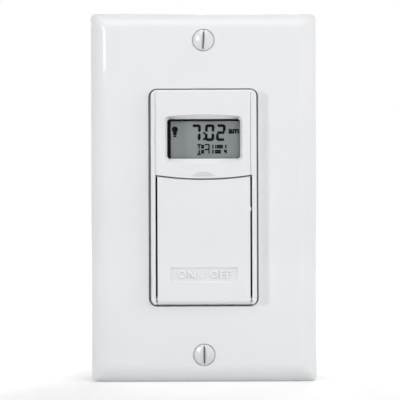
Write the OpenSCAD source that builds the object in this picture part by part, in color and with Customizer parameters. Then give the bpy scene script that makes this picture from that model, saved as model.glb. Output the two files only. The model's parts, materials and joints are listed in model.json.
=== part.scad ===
// Timer light switch for a single wall box: a wall plate, a display module with a hinged press door,
// and the switch body behind it. Millimetres. X is right, Y goes into the wall, Z is up.
// The origin is the middle of the wall plate, on the face of the wall.

/* [Wall plate] */
// Width of the wall plate
plate_w = 69.85; // [64:0.05:90]
// Height of the wall plate
plate_h = 114.3; // [113:0.1:130]
// Depth of the wall plate, from the wall to its flat face
plate_d = 5.5; // [5:0.1:7]
// Thickness of the plate's face
plate_wall = 2; // [1.4:0.1:2.2]
// Width of the rim that rests on the wall
plate_rim = 2.6; // [2:0.1:4]
// Width of the rolled edge round the face
plate_roll_run = 6; // [4:0.1:7]
// How far the rolled edge drops from the face
plate_roll_drop = 3.7; // [2.5:0.1:4.2]
// Corner radius of the plate, seen from the front
plate_corner_r = 1.5; // [0.6:0.1:3]
// Gap between the plate's opening and the bezel
opening_gap = 0.4; // [0.3:0.05:0.8]
// Radius of the bosses behind the plate screws
plate_boss_r = 3.1; // [2.8:0.1:3.2]

/* [Plate and box screws] */
// Distance between the two wall box screws
box_screw_spacing = 83.34; // [82:0.02:85]
// Distance from a box screw to the plate screw beyond it
plate_screw_step = 6.75; // [6.6:0.05:8]
// Thread radius of the plate and box screws
screw_r = 1.75; // [1.5:0.05:1.85]
// Clearance round a screw in its hole
screw_gap = 0.1; // [0.05:0.05:0.25]
// Radius of a plate screw's oval head
oval_head_r = 3.45; // [3.2:0.05:4]
// Rise of the oval head above the plate's face
oval_head_rise = 0.9; // [0.5:0.1:1.2]
// Depth of the oval head's countersink
oval_head_sink = 1.5; // [1.1:0.1:1.6]
// Clearance under the oval head in its countersink
seat_gap = 0.05; // [0.02:0.01:0.1]
// Reach of a plate screw behind the wall's face
plate_screw_reach = 9; // [6:0.5:16]
// Reach of a box screw behind the wall's face
box_screw_reach = 20; // [12:0.5:30]
// Radius of the flat screw heads that bear on the strap
flat_head_r = 3.1; // [2.8:0.1:3.2]
// Height of the flat screw heads
flat_head_h = 1.6; // [1.2:0.1:1.8]
// Width of the driver slots
driver_slot_w = 1; // [0.8:0.1:1.2]
// Depth of the driver slots
driver_slot_d = 0.8; // [0.5:0.1:1]

/* [Mounting strap] */
// Width of the strap
strap_w = 44; // [43:0.5:48]
// Thickness of the strap
strap_t = 1.2; // [1:0.1:1.4]
// Length of strap beyond each plate screw
strap_end = 4.1; // [3:0.1:4.6]
// Corner radius of the strap
strap_corner_r = 2; // [1:0.1:3]
// Clearance between the strap and the bezel that stands through it
strap_gap = 0.3; // [0.2:0.05:0.4]
// Length of the slots for the box screws
box_slot_l = 6; // [5:0.1:8]
// Width of the bent ground tab
ground_tab_w = 8.5; // [7.5:0.1:10]
// Reach of the ground tab behind the wall's face
ground_tab_reach = 9.5; // [9:0.1:12]
// Gap between the ground tab and the housing
ground_tab_gap = 2.6; // [2.2:0.1:3]

/* [Bezel] */
// Width of the bezel
bezel_w = 32.6; // [31.6:0.1:33.4]
// Height of the bezel
bezel_h = 65.9; // [65:0.1:68]
// How far the bezel stands out of the plate's face
bezel_proud = 2; // [1.4:0.1:2.6]
// Corner radius of the bezel, seen from the front
bezel_corner_r = 2.3; // [1.6:0.1:2.8]
// Rounding of the bezel's front edges
bezel_edge_r = 0.7; // [0.3:0.1:1]
// Width of the side rails and thickness of the bezel's walls
rail_w = 1.57; // [1.3:0.01:1.8]
// Thickness of the upper panel
panel_t = 2.2; // [2:0.1:2.6]
// Depth of the keypad deck below the bezel's front
deck_depth = 3.3; // [3.2:0.1:3.8]
// Thickness of the keypad deck
deck_t = 1.3; // [1:0.1:1.6]
// Thickness of the wall between the display bay and the door's recess
divider_t = 1.3; // [1:0.1:1.6]
// Thickness of the flange behind the strap
flange_t = 1.6; // [1.2:0.1:2]
// How far the flange reaches above and below the bezel
flange_lip = 1.85; // [1.6:0.05:2.4]
// Width of the fine grooves beside the upper panel
groove_w = 0.25; // [0.2:0.05:0.4]
// Depth of the fine grooves
groove_d = 0.4; // [0.2:0.05:0.8]
// Width of the finger scoop above the door
scoop_w = 8.5; // [6:0.1:12]
// Height of the finger scoop
scoop_h = 1.35; // [0.8:0.05:1.8]
// Depth of the finger scoop
scoop_d = 1.2; // [0.6:0.1:1.6]

/* [Display] */
// Width of the display window
window_w = 22.2; // [20:0.1:23]
// Height of the display window
window_h = 12.15; // [11:0.05:13]
// Height of the window's centre
window_z = 17.95; // [17.4:0.05:18.6]
// Corner radius of the window
window_r = 0.5; // [0.3:0.1:1]
// Depth of the dished surround of the window
dish_d = 0.6; // [0.3:0.1:0.8]
// Width of the dished surround
dish_margin = 0.65; // [0.4:0.05:0.9]
// Arch of the surround's upper edge
dish_top_arch = 0.7; // [0.4:0.1:1]
// Arch of the surround's lower edge
dish_foot_arch = 1.2; // [0.6:0.1:1.4]
// Depth of the lens below the bezel's front
lens_recess = 1.1; // [0.9:0.1:1.4]
// Thickness of the lens flange
lens_flange_t = 0.8; // [0.6:0.1:1]
// How far the lens flange reaches past the window
lens_lip = 1.4; // [1:0.1:1.5]
// Clearance of the lens and the display panel in their seats
lens_gap = 0.05; // [0.03:0.01:0.1]
// Thickness of the black display frame
lcd_frame_t = 2.5; // [2.3:0.1:2.8]
// Width of the black band seen at the left of the display
lcd_band_left = 1.17; // [0.6:0.01:1.6]
// Width of the black band seen above the display
lcd_band_top = 0.6; // [0.3:0.05:1]
// Thickness of the display panel
lcd_t = 2; // [1.6:0.1:2.2]
// Thickness of the rubber contact strips
contact_strip_t = 1.8; // [1.4:0.1:2.4]

/* [Door] */
// Gap between the door and the bezel
door_gap = 0.4; // [0.3:0.05:0.5]
// Thickness of the door
door_t = 1.6; // [1.4:0.1:1.7]
// Height of the middle of the door's top edge
door_top_z = 5.55; // [5:0.05:6]
// How far the top edge dips between its corners
door_top_dip = 1.05; // [0.5:0.05:1.3]
// Radius of the door's rounded foot
knuckle_r = 1.5; // [1.4:0.05:1.55]
// Radius of the hinge pin
pin_r = 0.6; // [0.5:0.05:0.7]
// How far the pin reaches into each rail
pin_bite = 0.8; // [0.6:0.05:0.9]
// Running clearance of the pin and of the key plungers
running_gap = 0.05; // [0.03:0.01:0.08]
// How far the door and its pin press in
press_travel = 0.5; // [0.3:0.05:0.55]
// Gap between the door's foot and the bezel's lower edge
foot_gap = 0.05; // [0.03:0.01:0.2]
// Width of the shallow plaque in the door
plaque_w = 20.4; // [16:0.1:24]
// Height of the plaque
plaque_h = 4.3; // [3:0.1:6]
// Height of the plaque's centre
plaque_z = -23.7; // [-26:0.1:-18]
// Depth of the plaque
plaque_d = 0.3; // [0.15:0.05:0.5]
// Height of the catch nub on the door's side
nub_z = -3.6; // [-8:0.1:2]
// How far the catch nub stands out of the door
nub_reach = 0.2; // [0.1:0.05:0.25]
// Radius of the catch nub
nub_r = 0.7; // [0.5:0.05:0.75]
// Width of the press pad behind the door
pad_w = 6; // [4:0.1:10]
// Height of the press pad
pad_h = 4; // [3:0.1:5]
// Gap between the door's press pad and the ON/OFF key
pad_gap = 0.1; // [0.08:0.01:0.15]

/* [Keys] */
// Width of the ON/OFF key
on_off_w = 20; // [14:0.5:22]
// Height of the ON/OFF key
on_off_h = 8; // [6:0.1:8.2]
// Height of the ON/OFF key's centre
on_off_z = -0.5; // [-0.8:0.1:-0.2]
// How far the ON/OFF key stands out of the deck
on_off_proud = 1.1; // [0.9:0.1:1.2]
// Width of the setting keys
key_w = 7; // [5:0.1:7.2]
// Height of the setting keys
key_h = 4; // [3:0.1:4.4]
// Distance between the setting keys
key_pitch = 9; // [8.9:0.1:9.4]
// Height of the row of setting keys
key_row_z = -9; // [-9.2:0.1:-8.8]
// How far the setting keys stand out of the deck
key_proud = 1; // [0.6:0.1:1.1]
// Length of the sunk marks in the setting keys
mark_l = 2.2; // [1.6:0.1:2.6]
// Width of the sunk marks
mark_w = 0.6; // [0.4:0.1:0.8]
// Radius of the reset key
reset_r = 1.1; // [0.9:0.1:1.6]
// Height of the reset key
reset_z = -15.2; // [-15.3:0.1:-15.1]
// Clearance of a key in its opening
key_gap = 0.2; // [0.12:0.02:0.3]
// How far a key's lip reaches behind the deck
key_lip = 0.8; // [0.6:0.05:0.85]
// Thickness of the lip
key_lip_t = 1; // [0.8:0.1:1.2]
// Play between a lip and the deck
key_play = 0.05; // [0.03:0.01:0.1]
// Length of the plunger seen between a key and its switch
plunger_lift = 0.85; // [0.8:0.05:1.2]
// Radius of a plunger
plunger_r = 1.7; // [1.4:0.05:1.9]
// Depth of a plunger in its switch at rest
plunger_in = 0.8; // [0.6:0.1:1]
// Depth of the plunger's well in the switch
switch_well = 1.8; // [1.7:0.1:2.2]
// Width of a switch body
switch_w = 6; // [5:0.1:6]
// Height of a switch body
switch_h = 3.5; // [3.2:0.1:4]

/* [Boards] */
// Thickness of both circuit boards
board_t = 1.6; // [1.2:0.1:2]
// Clearance between the control board and the bezel's walls
board_gap = 0.5; // [0.3:0.1:0.8]
// Least board beyond a screw head
board_edge = 0.4; // [0.2:0.1:0.6]
// Radius of the bosses that carry the control board
boss_r = 1.5; // [1.3:0.05:1.6]
// Distance of the bosses from the board's side edges
boss_inset = 1.6; // [1.6:0.1:1.8]
// Height of the upper pair of bosses
boss_top_z = 28.6; // [28.4:0.1:28.9]
// Thread radius of the board screws
board_screw_r = 0.9; // [0.7:0.05:1]
// Length of board screw in a boss
board_screw_l = 4; // [3:0.5:5]
// Radius of the board screw heads
board_head_r = 1.8; // [1.5:0.1:2]
// Height of the board screw heads
board_head_h = 1.3; // [1:0.1:1.5]
// Width of the controller chip
chip_w = 6.5; // [5:0.1:7]
// Height of the controller chip on its board
chip_t = 1.4; // [1:0.1:1.8]
// Radius of the clock crystal
crystal_r = 1; // [0.8:0.05:1.2]
// Length of the clock crystal
crystal_l = 6; // [5:0.1:7]
// Number of link pins between the boards
pin_count = 6; // [4:1:6]
// Distance between the link pins
pin_pitch = 2.54; // [2:0.01:2.54]
// Radius of the link pins
link_pin_r = 0.32; // [0.25:0.01:0.4]
// Width of the strips that hold the link pins
link_strip_w = 2.5; // [2:0.1:3]

/* [Battery] */
// Radius of the coin cell
coin_r = 10; // [8:0.1:10]
// Thickness of the coin cell
coin_t = 3.2; // [2.5:0.1:3.6]
// Height of the cell's smaller pole cap
coin_cap_t = 0.4; // [0.3:0.05:0.5]
// Clearance of the cell in its tray
coin_gap = 0.15; // [0.1:0.05:0.3]
// Side wall of the tray beside the cell
tray_wall = 1; // [0.8:0.1:1.2]
// Thickness of the tray's floor
tray_floor = 0.9; // [0.7:0.1:1.2]
// Thickness of the tray's front
tray_front_t = 1.5; // [1.4:0.1:2]
// How far the tray's front stands out of the deck
tray_proud = 0.7; // [0.4:0.1:0.8]
// Clearance of the tray in its sleeve
tray_gap = 0.15; // [0.1:0.05:0.2]
// Wall of the sleeve that guides the tray
sleeve_wall = 0.9; // [0.7:0.1:1.1]
// Gap between the control board and the sleeve
sleeve_gap = 0.7; // [0.6:0.1:0.8]
// Thickness of the battery contacts
contact_t = 0.3; // [0.2:0.05:0.35]
// Width of the battery contacts
contact_w = 4; // [3:0.1:5]

/* [Rear housing] */
// Distance from the wall's face to the back of the housing
housing_back = 31.6; // [31.4:0.1:36]
// Wall of the housing
housing_wall = 1.8; // [1.5:0.1:2]
// How far the housing lies inside the strap's edge
housing_inset = 0.2; // [0.1:0.1:0.5]
// Corner radius of the housing
housing_corner_r = 2; // [1:0.1:3]
// Distance of the case screws from the housing's top and bottom
case_screw_inset = 6.8; // [6:0.1:7.4]
// Thread radius of the case screws
case_screw_r = 1.5; // [1.2:0.05:1.6]
// Length of case screw in the housing
case_screw_l = 8; // [6:0.5:12]
// Radius of the case screw heads
case_head_r = 2.4; // [2:0.05:2.5]
// Height of the posts that carry the power board
post_h = 6.2; // [5:0.1:6.4]
// Radius of the posts
post_r = 2.1; // [1.8:0.1:2.3]
// Distance of the posts from the middle, sideways
post_x = 12.8; // [12:0.1:13]
// Distance of the posts from the middle, up and down
post_z = 28.2; // [27.5:0.1:28.6]

/* [Terminals] */
// Height of the upper pair of terminals above the middle, and of the lower pair below it
terminal_z = 12; // [11:0.1:13]
// Distance of the terminal screws behind the wall's face
terminal_y = 15.5; // [15:0.1:16]
// Thickness of the brass terminal plates
terminal_t = 1.5; // [1.2:0.1:1.6]
// Width of the terminal plates and clamps
terminal_w = 10; // [9.6:0.1:10.4]
// Depth of the clamps
clamp_l = 10; // [9:0.1:10.4]
// Thickness of the clamps
clamp_t = 1.3; // [1:0.1:1.4]
// Space for the wire between plate and clamp
wire_space = 2.1; // [2:0.05:2.2]
// Distance of the wire from its terminal screw
wire_offset = 3.4; // [3.3:0.05:3.5]
// Radius of the wire entries in the back
wire_hole_r = 1.5; // [1.2:0.05:1.6]
// Length of the terminal screws past the clamp
terminal_tip = 0.5; // [0.3:0.1:0.6]

/* [Relay] */
// Width of the relay
relay_w = 16; // [15:0.1:16.4]
// Length of the relay
relay_l = 20; // [19.4:0.1:20.4]
// Height of the relay on its board
relay_h = 15.5; // [15:0.1:15.8]
// Place of the relay's middle, sideways
relay_x = -5.5; // [-5.8:0.1:-5.2]
// Place of the relay's middle, up and down
relay_z = 13; // [12.6:0.1:13.4]
// Thickness of the relay's base
relay_base_t = 1.6; // [1.4:0.1:2]
// Wall of the relay's cover
relay_wall = 0.8; // [0.6:0.1:0.9]
// Thickness of the relay's yoke and armature
iron_t = 1.4; // [1.2:0.1:1.5]
// Width of the relay's yoke
yoke_w = 9.8; // [8:0.1:11]
// Width of the relay's armature
armature_w = 8.8; // [7:0.1:10]
// Radius of the relay's core
core_r = 2; // [1.6:0.1:2.4]
// Radius of the winding
coil_r = 5.3; // [4.6:0.1:5.4]
// Radius of the bobbin's flanges
bobbin_r = 5.9; // [5.6:0.1:6]
// Thickness of the bobbin's flanges
bobbin_flange_t = 0.7; // [0.5:0.1:0.9]
// Air gap between the core and the armature
pole_gap = 0.7; // [0.65:0.05:0.8]
// Thickness of the spring leaf of the moving contact
leaf_t = 0.3; // [0.2:0.05:0.35]
// Radius of the contact buttons
button_r = 0.9; // [0.7:0.05:1]
// Height of the contact buttons
button_h = 0.7; // [0.5:0.05:0.8]
// Gap between the open contacts
contact_gap = 1; // [0.95:0.05:1.2]
// Clearance between the armature and the yoke that it tilts on
tilt_gap = 0.1; // [0.08:0.01:0.15]

/* [Power parts] */
// Space between the parts on the power board
part_space = 2; // [1.8:0.1:2.2]
// Width of the film capacitor
film_w = 8; // [6:0.1:8.2]
// Length of the film capacitor
film_l = 18; // [15:0.1:19]
// Height of the film capacitor
film_h = 13; // [10:0.1:14]
// Radius of the smoothing capacitor
smoothing_r = 5; // [4:0.1:5]
// Height of the smoothing capacitor
smoothing_h = 15; // [12:0.1:15]
// Radius of the surge varistor
varistor_r = 5; // [4:0.1:5.2]
// Thickness of the surge varistor
varistor_t = 4; // [3:0.1:4.4]
// Radius of the fusible resistor
resistor_r = 1.8; // [1.4:0.1:1.9]
// Length of the fusible resistor
resistor_l = 8; // [6:0.1:9]
// Radius of the wire leads of the power parts
lead_r = 0.35; // [0.3:0.05:0.45]
// Height of the leads under a raised part
lead_h = 1.5; // [1:0.1:2]
// Width of the bridge rectifier
rectifier_w = 8; // [7:0.1:8]
// Length of the bridge rectifier
rectifier_l = 6.5; // [6:0.1:7]
// Height of the bridge rectifier
rectifier_h = 2.6; // [2:0.1:3.2]

/* [Hidden] */
$fn = 64;
// Overlap of a cutting shape past the face that it cuts
eps = 0.2;

// Layers of the front, from the bezel's face inwards
front_y = -(plate_d + bezel_proud);
cavity_y = -(plate_d - plate_wall);
panel_back = front_y + panel_t;
deck_front = front_y + deck_depth;
deck_back = deck_front + deck_t;
lip_front = deck_back + key_play;
lip_back = lip_front + key_lip_t;
switch_front = lip_back + plunger_lift;
control_front = switch_front + switch_h;
control_back = control_front + board_t;
lens_front = front_y + lens_recess;
lens_back = panel_back + lens_flange_t;
lcd_frame_back = lens_back + lcd_frame_t;
lcd_front = lens_back + 2 * lens_gap;
lcd_back = lcd_front + lcd_t;

// Layers of the back, from the housing's back inwards
housing_inner = housing_back - housing_wall;
power_back = housing_inner - post_h;
power_front = power_back - board_t;

// Widths and heights that follow from the driving sizes
opening_w = bezel_w + 2 * opening_gap;
opening_h = bezel_h + 2 * opening_gap;
inner_w = bezel_w - 2 * rail_w;
inner_h = bezel_h - 2 * rail_w;
housing_w = strap_w - 2 * housing_inset;
housing_h = bezel_h + 2 * flange_lip;
box_screw_z = box_screw_spacing / 2;
plate_screw_z = box_screw_z + plate_screw_step;
strap_h = 2 * (plate_screw_z + strap_end);
case_screw_x = (bezel_w / 2 + strap_gap + strap_w / 2) / 2;
case_screw_z = housing_h / 2 - case_screw_inset;
column_r = housing_w / 2 - case_screw_x - seat_gap;

ground_tab_x = strap_w / 2 - strap_corner_r - ground_tab_w / 2;
ground_tab_z = -housing_h / 2 - ground_tab_gap - strap_t;
ground_screw_y = (ground_tab_reach + strap_t) / 2;

// Door and hinge
door_w = inner_w - 2 * door_gap;
door_back = front_y + door_t;
hinge_y = front_y + knuckle_r;
hinge_z = -bezel_h / 2 + knuckle_r + foot_gap;
door_top_r = (pow(door_w / 2, 2) + pow(door_top_dip, 2)) / (2 * door_top_dip);
door_arc_z = door_top_z + door_top_r;
pin_half = inner_w / 2 + pin_bite;
pad_front = deck_front - on_off_proud - pad_gap;

// Display bay
bay_foot_z = door_top_z + door_top_dip + door_gap + divider_t;
window_top = window_z + window_h / 2;
window_foot = window_z - window_h / 2;
lcd_left = -window_w / 2 + lcd_band_left;
lcd_right = window_w / 2 + lens_lip / 4;
lcd_top = window_top - lcd_band_top;
lcd_foot = window_foot - lens_lip / 4;

// Control board
control_w = inner_w - 2 * board_gap;
control_top = inner_h / 2 - board_gap;
control_foot = reset_z - switch_w / 2 - seat_gap;
boss_x = control_w / 2 - boss_inset;
boss_foot_z = reset_z;
boss_places = [for (x = [-boss_x, boss_x], z = [boss_foot_z, boss_top_z]) [x, z]];
key_places = [[0, on_off_z], [-key_pitch, key_row_z], [0, key_row_z], [key_pitch, key_row_z], [0, reset_z]];
chip_z = (on_off_z + switch_w / 2 + window_foot - lens_lip) / 2;
chip_x = -control_w / 4;

// Battery
tray_w = 2 * (coin_r + coin_gap + tray_wall);
tray_h = tray_floor + coin_t + coin_cap_t;
sleeve_w = tray_w + 2 * tray_gap;
sleeve_h = tray_h + contact_t + 2 * tray_gap;
sleeve_top = control_foot - sleeve_gap;
bay_top = sleeve_top - sleeve_wall;
bay_foot = bay_top - sleeve_h;
tray_foot = bay_foot + tray_gap;
tray_front = deck_front - tray_proud;
coin_y = tray_front + tray_front_t + coin_gap + coin_r;
tray_back = coin_y + coin_r + coin_gap;
coin_foot = tray_foot + tray_floor;

// Power board
power_w = 2 * (housing_w / 2 - housing_wall - terminal_t);
power_neck_w = 2 * (post_x + board_head_r + board_edge);
power_h = 2 * (post_z + board_head_r + board_edge);
power_mid_h = 2 * (case_screw_z - column_r - board_gap);
post_places = [for (x = [-post_x, post_x], z = [-post_z, post_z]) [x, z]];
link_z = boss_top_z;
link_xs = [for (i = [0 : pin_count - 1]) (i - (pin_count - 1) / 2) * pin_pitch];

// Terminals
terminal_out = housing_w / 2 - housing_wall;
terminal_in = terminal_out - terminal_t;
clamp_out = terminal_in - wire_space;
clamp_in = clamp_out - clamp_t;
wire_x = terminal_in - wire_space / 2;
terminal_sides = [-1, 1];
terminal_heights = [-terminal_z, terminal_z];

// Relay
relay_base_front = power_front - relay_base_t;
relay_front = power_front - relay_h;
yoke_foot_front = relay_base_front - iron_t;
armature_front = relay_front + relay_wall + 2 * leaf_t;
armature_back = armature_front + iron_t;
yoke_tip = armature_back + tilt_gap;
pole_y = armature_back + pole_gap;
upright_z = relay_z + bobbin_r + leaf_t;
contact_z = relay_z - relay_l / 2 + relay_wall + button_r + 2 * leaf_t;
armature_foot = contact_z + button_r + 2 * leaf_t;
moving_y = armature_front + button_h;
fixed_y = moving_y + contact_gap;

// Other power parts
film_x = relay_x + relay_w / 2 + part_space + film_w / 2;
smoothing_x = film_x + film_w / 2 - smoothing_r;
smoothing_z = relay_z - relay_l / 2 - 2 * part_space - smoothing_r;
varistor_x = smoothing_x - smoothing_r - 2 * part_space - varistor_t / 2;
rectifier_x = varistor_x - varistor_t / 2 - part_space / 4 - rectifier_w / 2;
resistor_z = smoothing_z - smoothing_r - part_space - resistor_r;

// Box between two corners
module block(x0, x1, y0, y1, z0, z1) {
    translate([x0, y0, z0])
        cube([x1 - x0, y1 - y0, z1 - z0]);
}

// Box of a given width and height, centred on x and z, between two depths
module slab(w, h, y0, y1, x = 0, z = 0) {
    block(x - w / 2, x + w / 2, y0, y1, z - h / 2, z + h / 2);
}

// A flat outline in x and z, thickened from one depth to another
module along_y(y0, y1) {
    translate([0, y1, 0])
        rotate([90, 0, 0])
            linear_extrude(y1 - y0)
                children();
}

// Round bar along y
module rod_y(r, y0, y1, x = 0, z = 0) {
    translate([x, y1, z])
        rotate([90, 0, 0])
            cylinder(r = r, h = y1 - y0);
}

// Cone along y, with a radius at each depth
module cone_y(r0, r1, y0, y1, x = 0, z = 0) {
    translate([x, y1, z])
        rotate([90, 0, 0])
            cylinder(r1 = r1, r2 = r0, h = y1 - y0);
}

// Round bar along x
module rod_x(r, x0, x1, y, z) {
    translate([x0, y, z])
        rotate([0, 90, 0])
            cylinder(r = r, h = x1 - x0);
}

// Round bar along z
module rod_z(r, z0, z1, x, y) {
    translate([x, y, z0])
        cylinder(r = r, h = z1 - z0);
}

// Rectangle with true round corners
module rounded_rect(w, h, r) {
    square([w - 2 * r, h], center = true);
    square([w, h - 2 * r], center = true);
    for (x = [-1, 1], y = [-1, 1])
        translate([x * (w / 2 - r), y * (h / 2 - r)])
            circle(r);
}

// Section of a slab whose front edges roll back in an arc; the front is at 0 and the back at d
module rolled_section(w, d, run, drop) {
    r = (run * run + drop * drop) / (2 * drop);
    translate([-w / 2, drop])
        square([w, d - drop]);
    translate([-(w / 2 - run), 0])
        square([w - 2 * run, d]);
    for (side = [-1, 1])
        intersection() {
            translate([side * (w / 2 - run), r])
                circle(r, $fn = 128);
            translate([side > 0 ? w / 2 - run : -w / 2, 0])
                square([run, drop]);
        }
}

// Slab with rolled front edges that meet in mitres at its corners
module rolled_slab(w, h, y0, y1, run, drop, corner_r) {
    intersection() {
        linear_extrude(h, center = true)
            translate([0, y0])
                rolled_section(w, y1 - y0, run, drop);
        rotate([0, -90, 0])
            linear_extrude(w, center = true)
                translate([0, y0])
                    rolled_section(h, y1 - y0, run, drop);
        along_y(y0, y1)
            rounded_rect(w, h, corner_r);
    }
}

// Screw along y with a flat slotted head in front of y0
module flat_screw(r, head_r, y0, y1, x, z) {
    difference() {
        union() {
            rod_y(head_r, y0 - flat_head_h, y0, x, z);
            rod_y(r, y0, y1, x, z);
        }
        slab(driver_slot_w, 2 * head_r + eps, y0 - flat_head_h - eps, y0 - flat_head_h + driver_slot_d, x, z);
    }
}

// Small board screw along y with its head behind y1
module board_screw(y0, y1, x, z) {
    rod_y(board_screw_r, y0, y1, x, z);
    rod_y(board_head_r, y1, y1 + board_head_h, x, z);
}

// Wall plate
module wall_plate() {
    color("ivory")
        difference() {
            union() {
                difference() {
                    rolled_slab(plate_w, plate_h, -plate_d, 0, plate_roll_run, plate_roll_drop,
                        plate_corner_r);
                    slab(plate_w - 2 * plate_rim, plate_h - 2 * plate_rim, cavity_y, eps);
                }
                for (z = [-plate_screw_z, plate_screw_z])
                    rod_y(plate_boss_r, cavity_y - eps, -strap_t, 0, z);
            }
            along_y(-plate_d - eps, eps)
                rounded_rect(opening_w, opening_h, bezel_corner_r + opening_gap);
            for (z = [-plate_screw_z, plate_screw_z]) {
                rod_y(screw_r + screw_gap, -plate_d - eps, eps, 0, z);
                cone_y(oval_head_r + 2 * seat_gap, screw_r + 2 * seat_gap, -plate_d,
                    -plate_d + oval_head_sink, 0, z);
            }
        }
}

module oval_screw(z) {
    dome_r = (oval_head_r * oval_head_r + oval_head_rise * oval_head_rise) / (2 * oval_head_rise);
    top = -plate_d - oval_head_rise;
    difference() {
        union() {
            intersection() {
                translate([0, top + dome_r, z])
                    sphere(dome_r, $fn = 128);
                rod_y(oval_head_r, top - eps, -plate_d, 0, z);
            }
            cone_y(oval_head_r, screw_r, -plate_d, -plate_d + oval_head_sink, 0, z);
            rod_y(screw_r, -plate_d + oval_head_sink, plate_screw_reach, 0, z);
        }
        slab(driver_slot_w, 2 * oval_head_r + eps, top - eps, top + driver_slot_d, 0, z);
    }
}

module plate_screws() {
    color("gainsboro")
        for (z = [-plate_screw_z, plate_screw_z])
            oval_screw(z);
}

// Steel strap that is screwed to the wall box and carries everything
module mounting_strap() {
    color("silver")
        difference() {
            union() {
                along_y(-strap_t, 0)
                    rounded_rect(strap_w, strap_h, strap_corner_r);
                slab(ground_tab_w, strap_t, -strap_t, ground_tab_reach, ground_tab_x, ground_tab_z);
            }
            along_y(-strap_t - eps, eps)
                rounded_rect(bezel_w + 2 * strap_gap, bezel_h + 2 * strap_gap, bezel_corner_r + strap_gap);
            for (z = [-plate_screw_z, plate_screw_z])
                rod_y(screw_r + screw_gap, -strap_t - eps, eps, 0, z);
            for (z = [-box_screw_z, box_screw_z])
                along_y(-strap_t - eps, eps)
                    translate([0, z])
                        box_slot();
            for (x = [-case_screw_x, case_screw_x], z = [-case_screw_z, case_screw_z])
                rod_y(case_screw_r + screw_gap, -strap_t - eps, eps, x, z);
            rod_z(screw_r + screw_gap, ground_tab_z - strap_t, ground_tab_z + strap_t, ground_tab_x,
                ground_screw_y);
        }
}

// Slot with round ends that lets the strap be set level
module box_slot() {
    r = screw_r + screw_gap;
    square([box_slot_l - 2 * r, 2 * r], center = true);
    for (side = [-1, 1])
        translate([side * (box_slot_l / 2 - r), 0])
            circle(r);
}

// The neck under each head turns freely in the strap's slot; the thread starts at the wall's face
module box_screws() {
    color("silver")
        for (z = [-box_screw_z, box_screw_z]) {
            flat_screw(screw_r - screw_gap, flat_head_r, -strap_t, 0, 0, z);
            rod_y(screw_r, 0, box_screw_reach, 0, z);
        }
}

module ground_screw() {
    head_z = ground_tab_z - strap_t / 2;
    color("seagreen")
        difference() {
            union() {
                rod_z(flat_head_r, head_z - flat_head_h, head_z, ground_tab_x, ground_screw_y);
                rod_z(screw_r, head_z, -housing_h / 2 - screw_gap * 4, ground_tab_x, ground_screw_y);
            }
            block(ground_tab_x - driver_slot_w / 2, ground_tab_x + driver_slot_w / 2,
                ground_screw_y - flat_head_r - eps, ground_screw_y + flat_head_r + eps,
                head_z - flat_head_h - eps, head_z - flat_head_h + driver_slot_d);
        }
}

// Outline of the space that the door fills, with its curved top edge
module door_outline(w, top_r, foot) {
    difference() {
        translate([-w / 2, foot])
            square([w, door_top_z + 2 * door_top_dip - foot]);
        translate([0, door_arc_z])
            circle(top_r, $fn = 256);
    }
}

// Outline of the dished surround of the window, with an arched top and foot
module dish_outline() {
    half_w = window_w / 2 + dish_margin;
    top_r = (half_w * half_w + dish_top_arch * dish_top_arch) / (2 * dish_top_arch);
    foot_r = (half_w * half_w + dish_foot_arch * dish_foot_arch) / (2 * dish_foot_arch);
    top = window_top + dish_margin + dish_top_arch;
    foot = window_foot - dish_margin / 2 - dish_foot_arch;
    intersection() {
        translate([-half_w, foot])
            square([2 * half_w, top - foot]);
        translate([0, top - top_r])
            circle(top_r, $fn = 256);
        translate([0, foot + foot_r])
            circle(foot_r, $fn = 256);
    }
}

// Slot along x with round ends, from the hinge's place to its place when the door is pressed in
module press_slot(r, half_l) {
    rotate([90, 0, 90])
        linear_extrude(2 * half_l, center = true)
            translate([hinge_y, hinge_z]) {
                translate([0, -r])
                    square([press_travel, 2 * r]);
                for (y = [0, press_travel])
                    translate([y, 0])
                        circle(r);
            }
}

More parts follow.
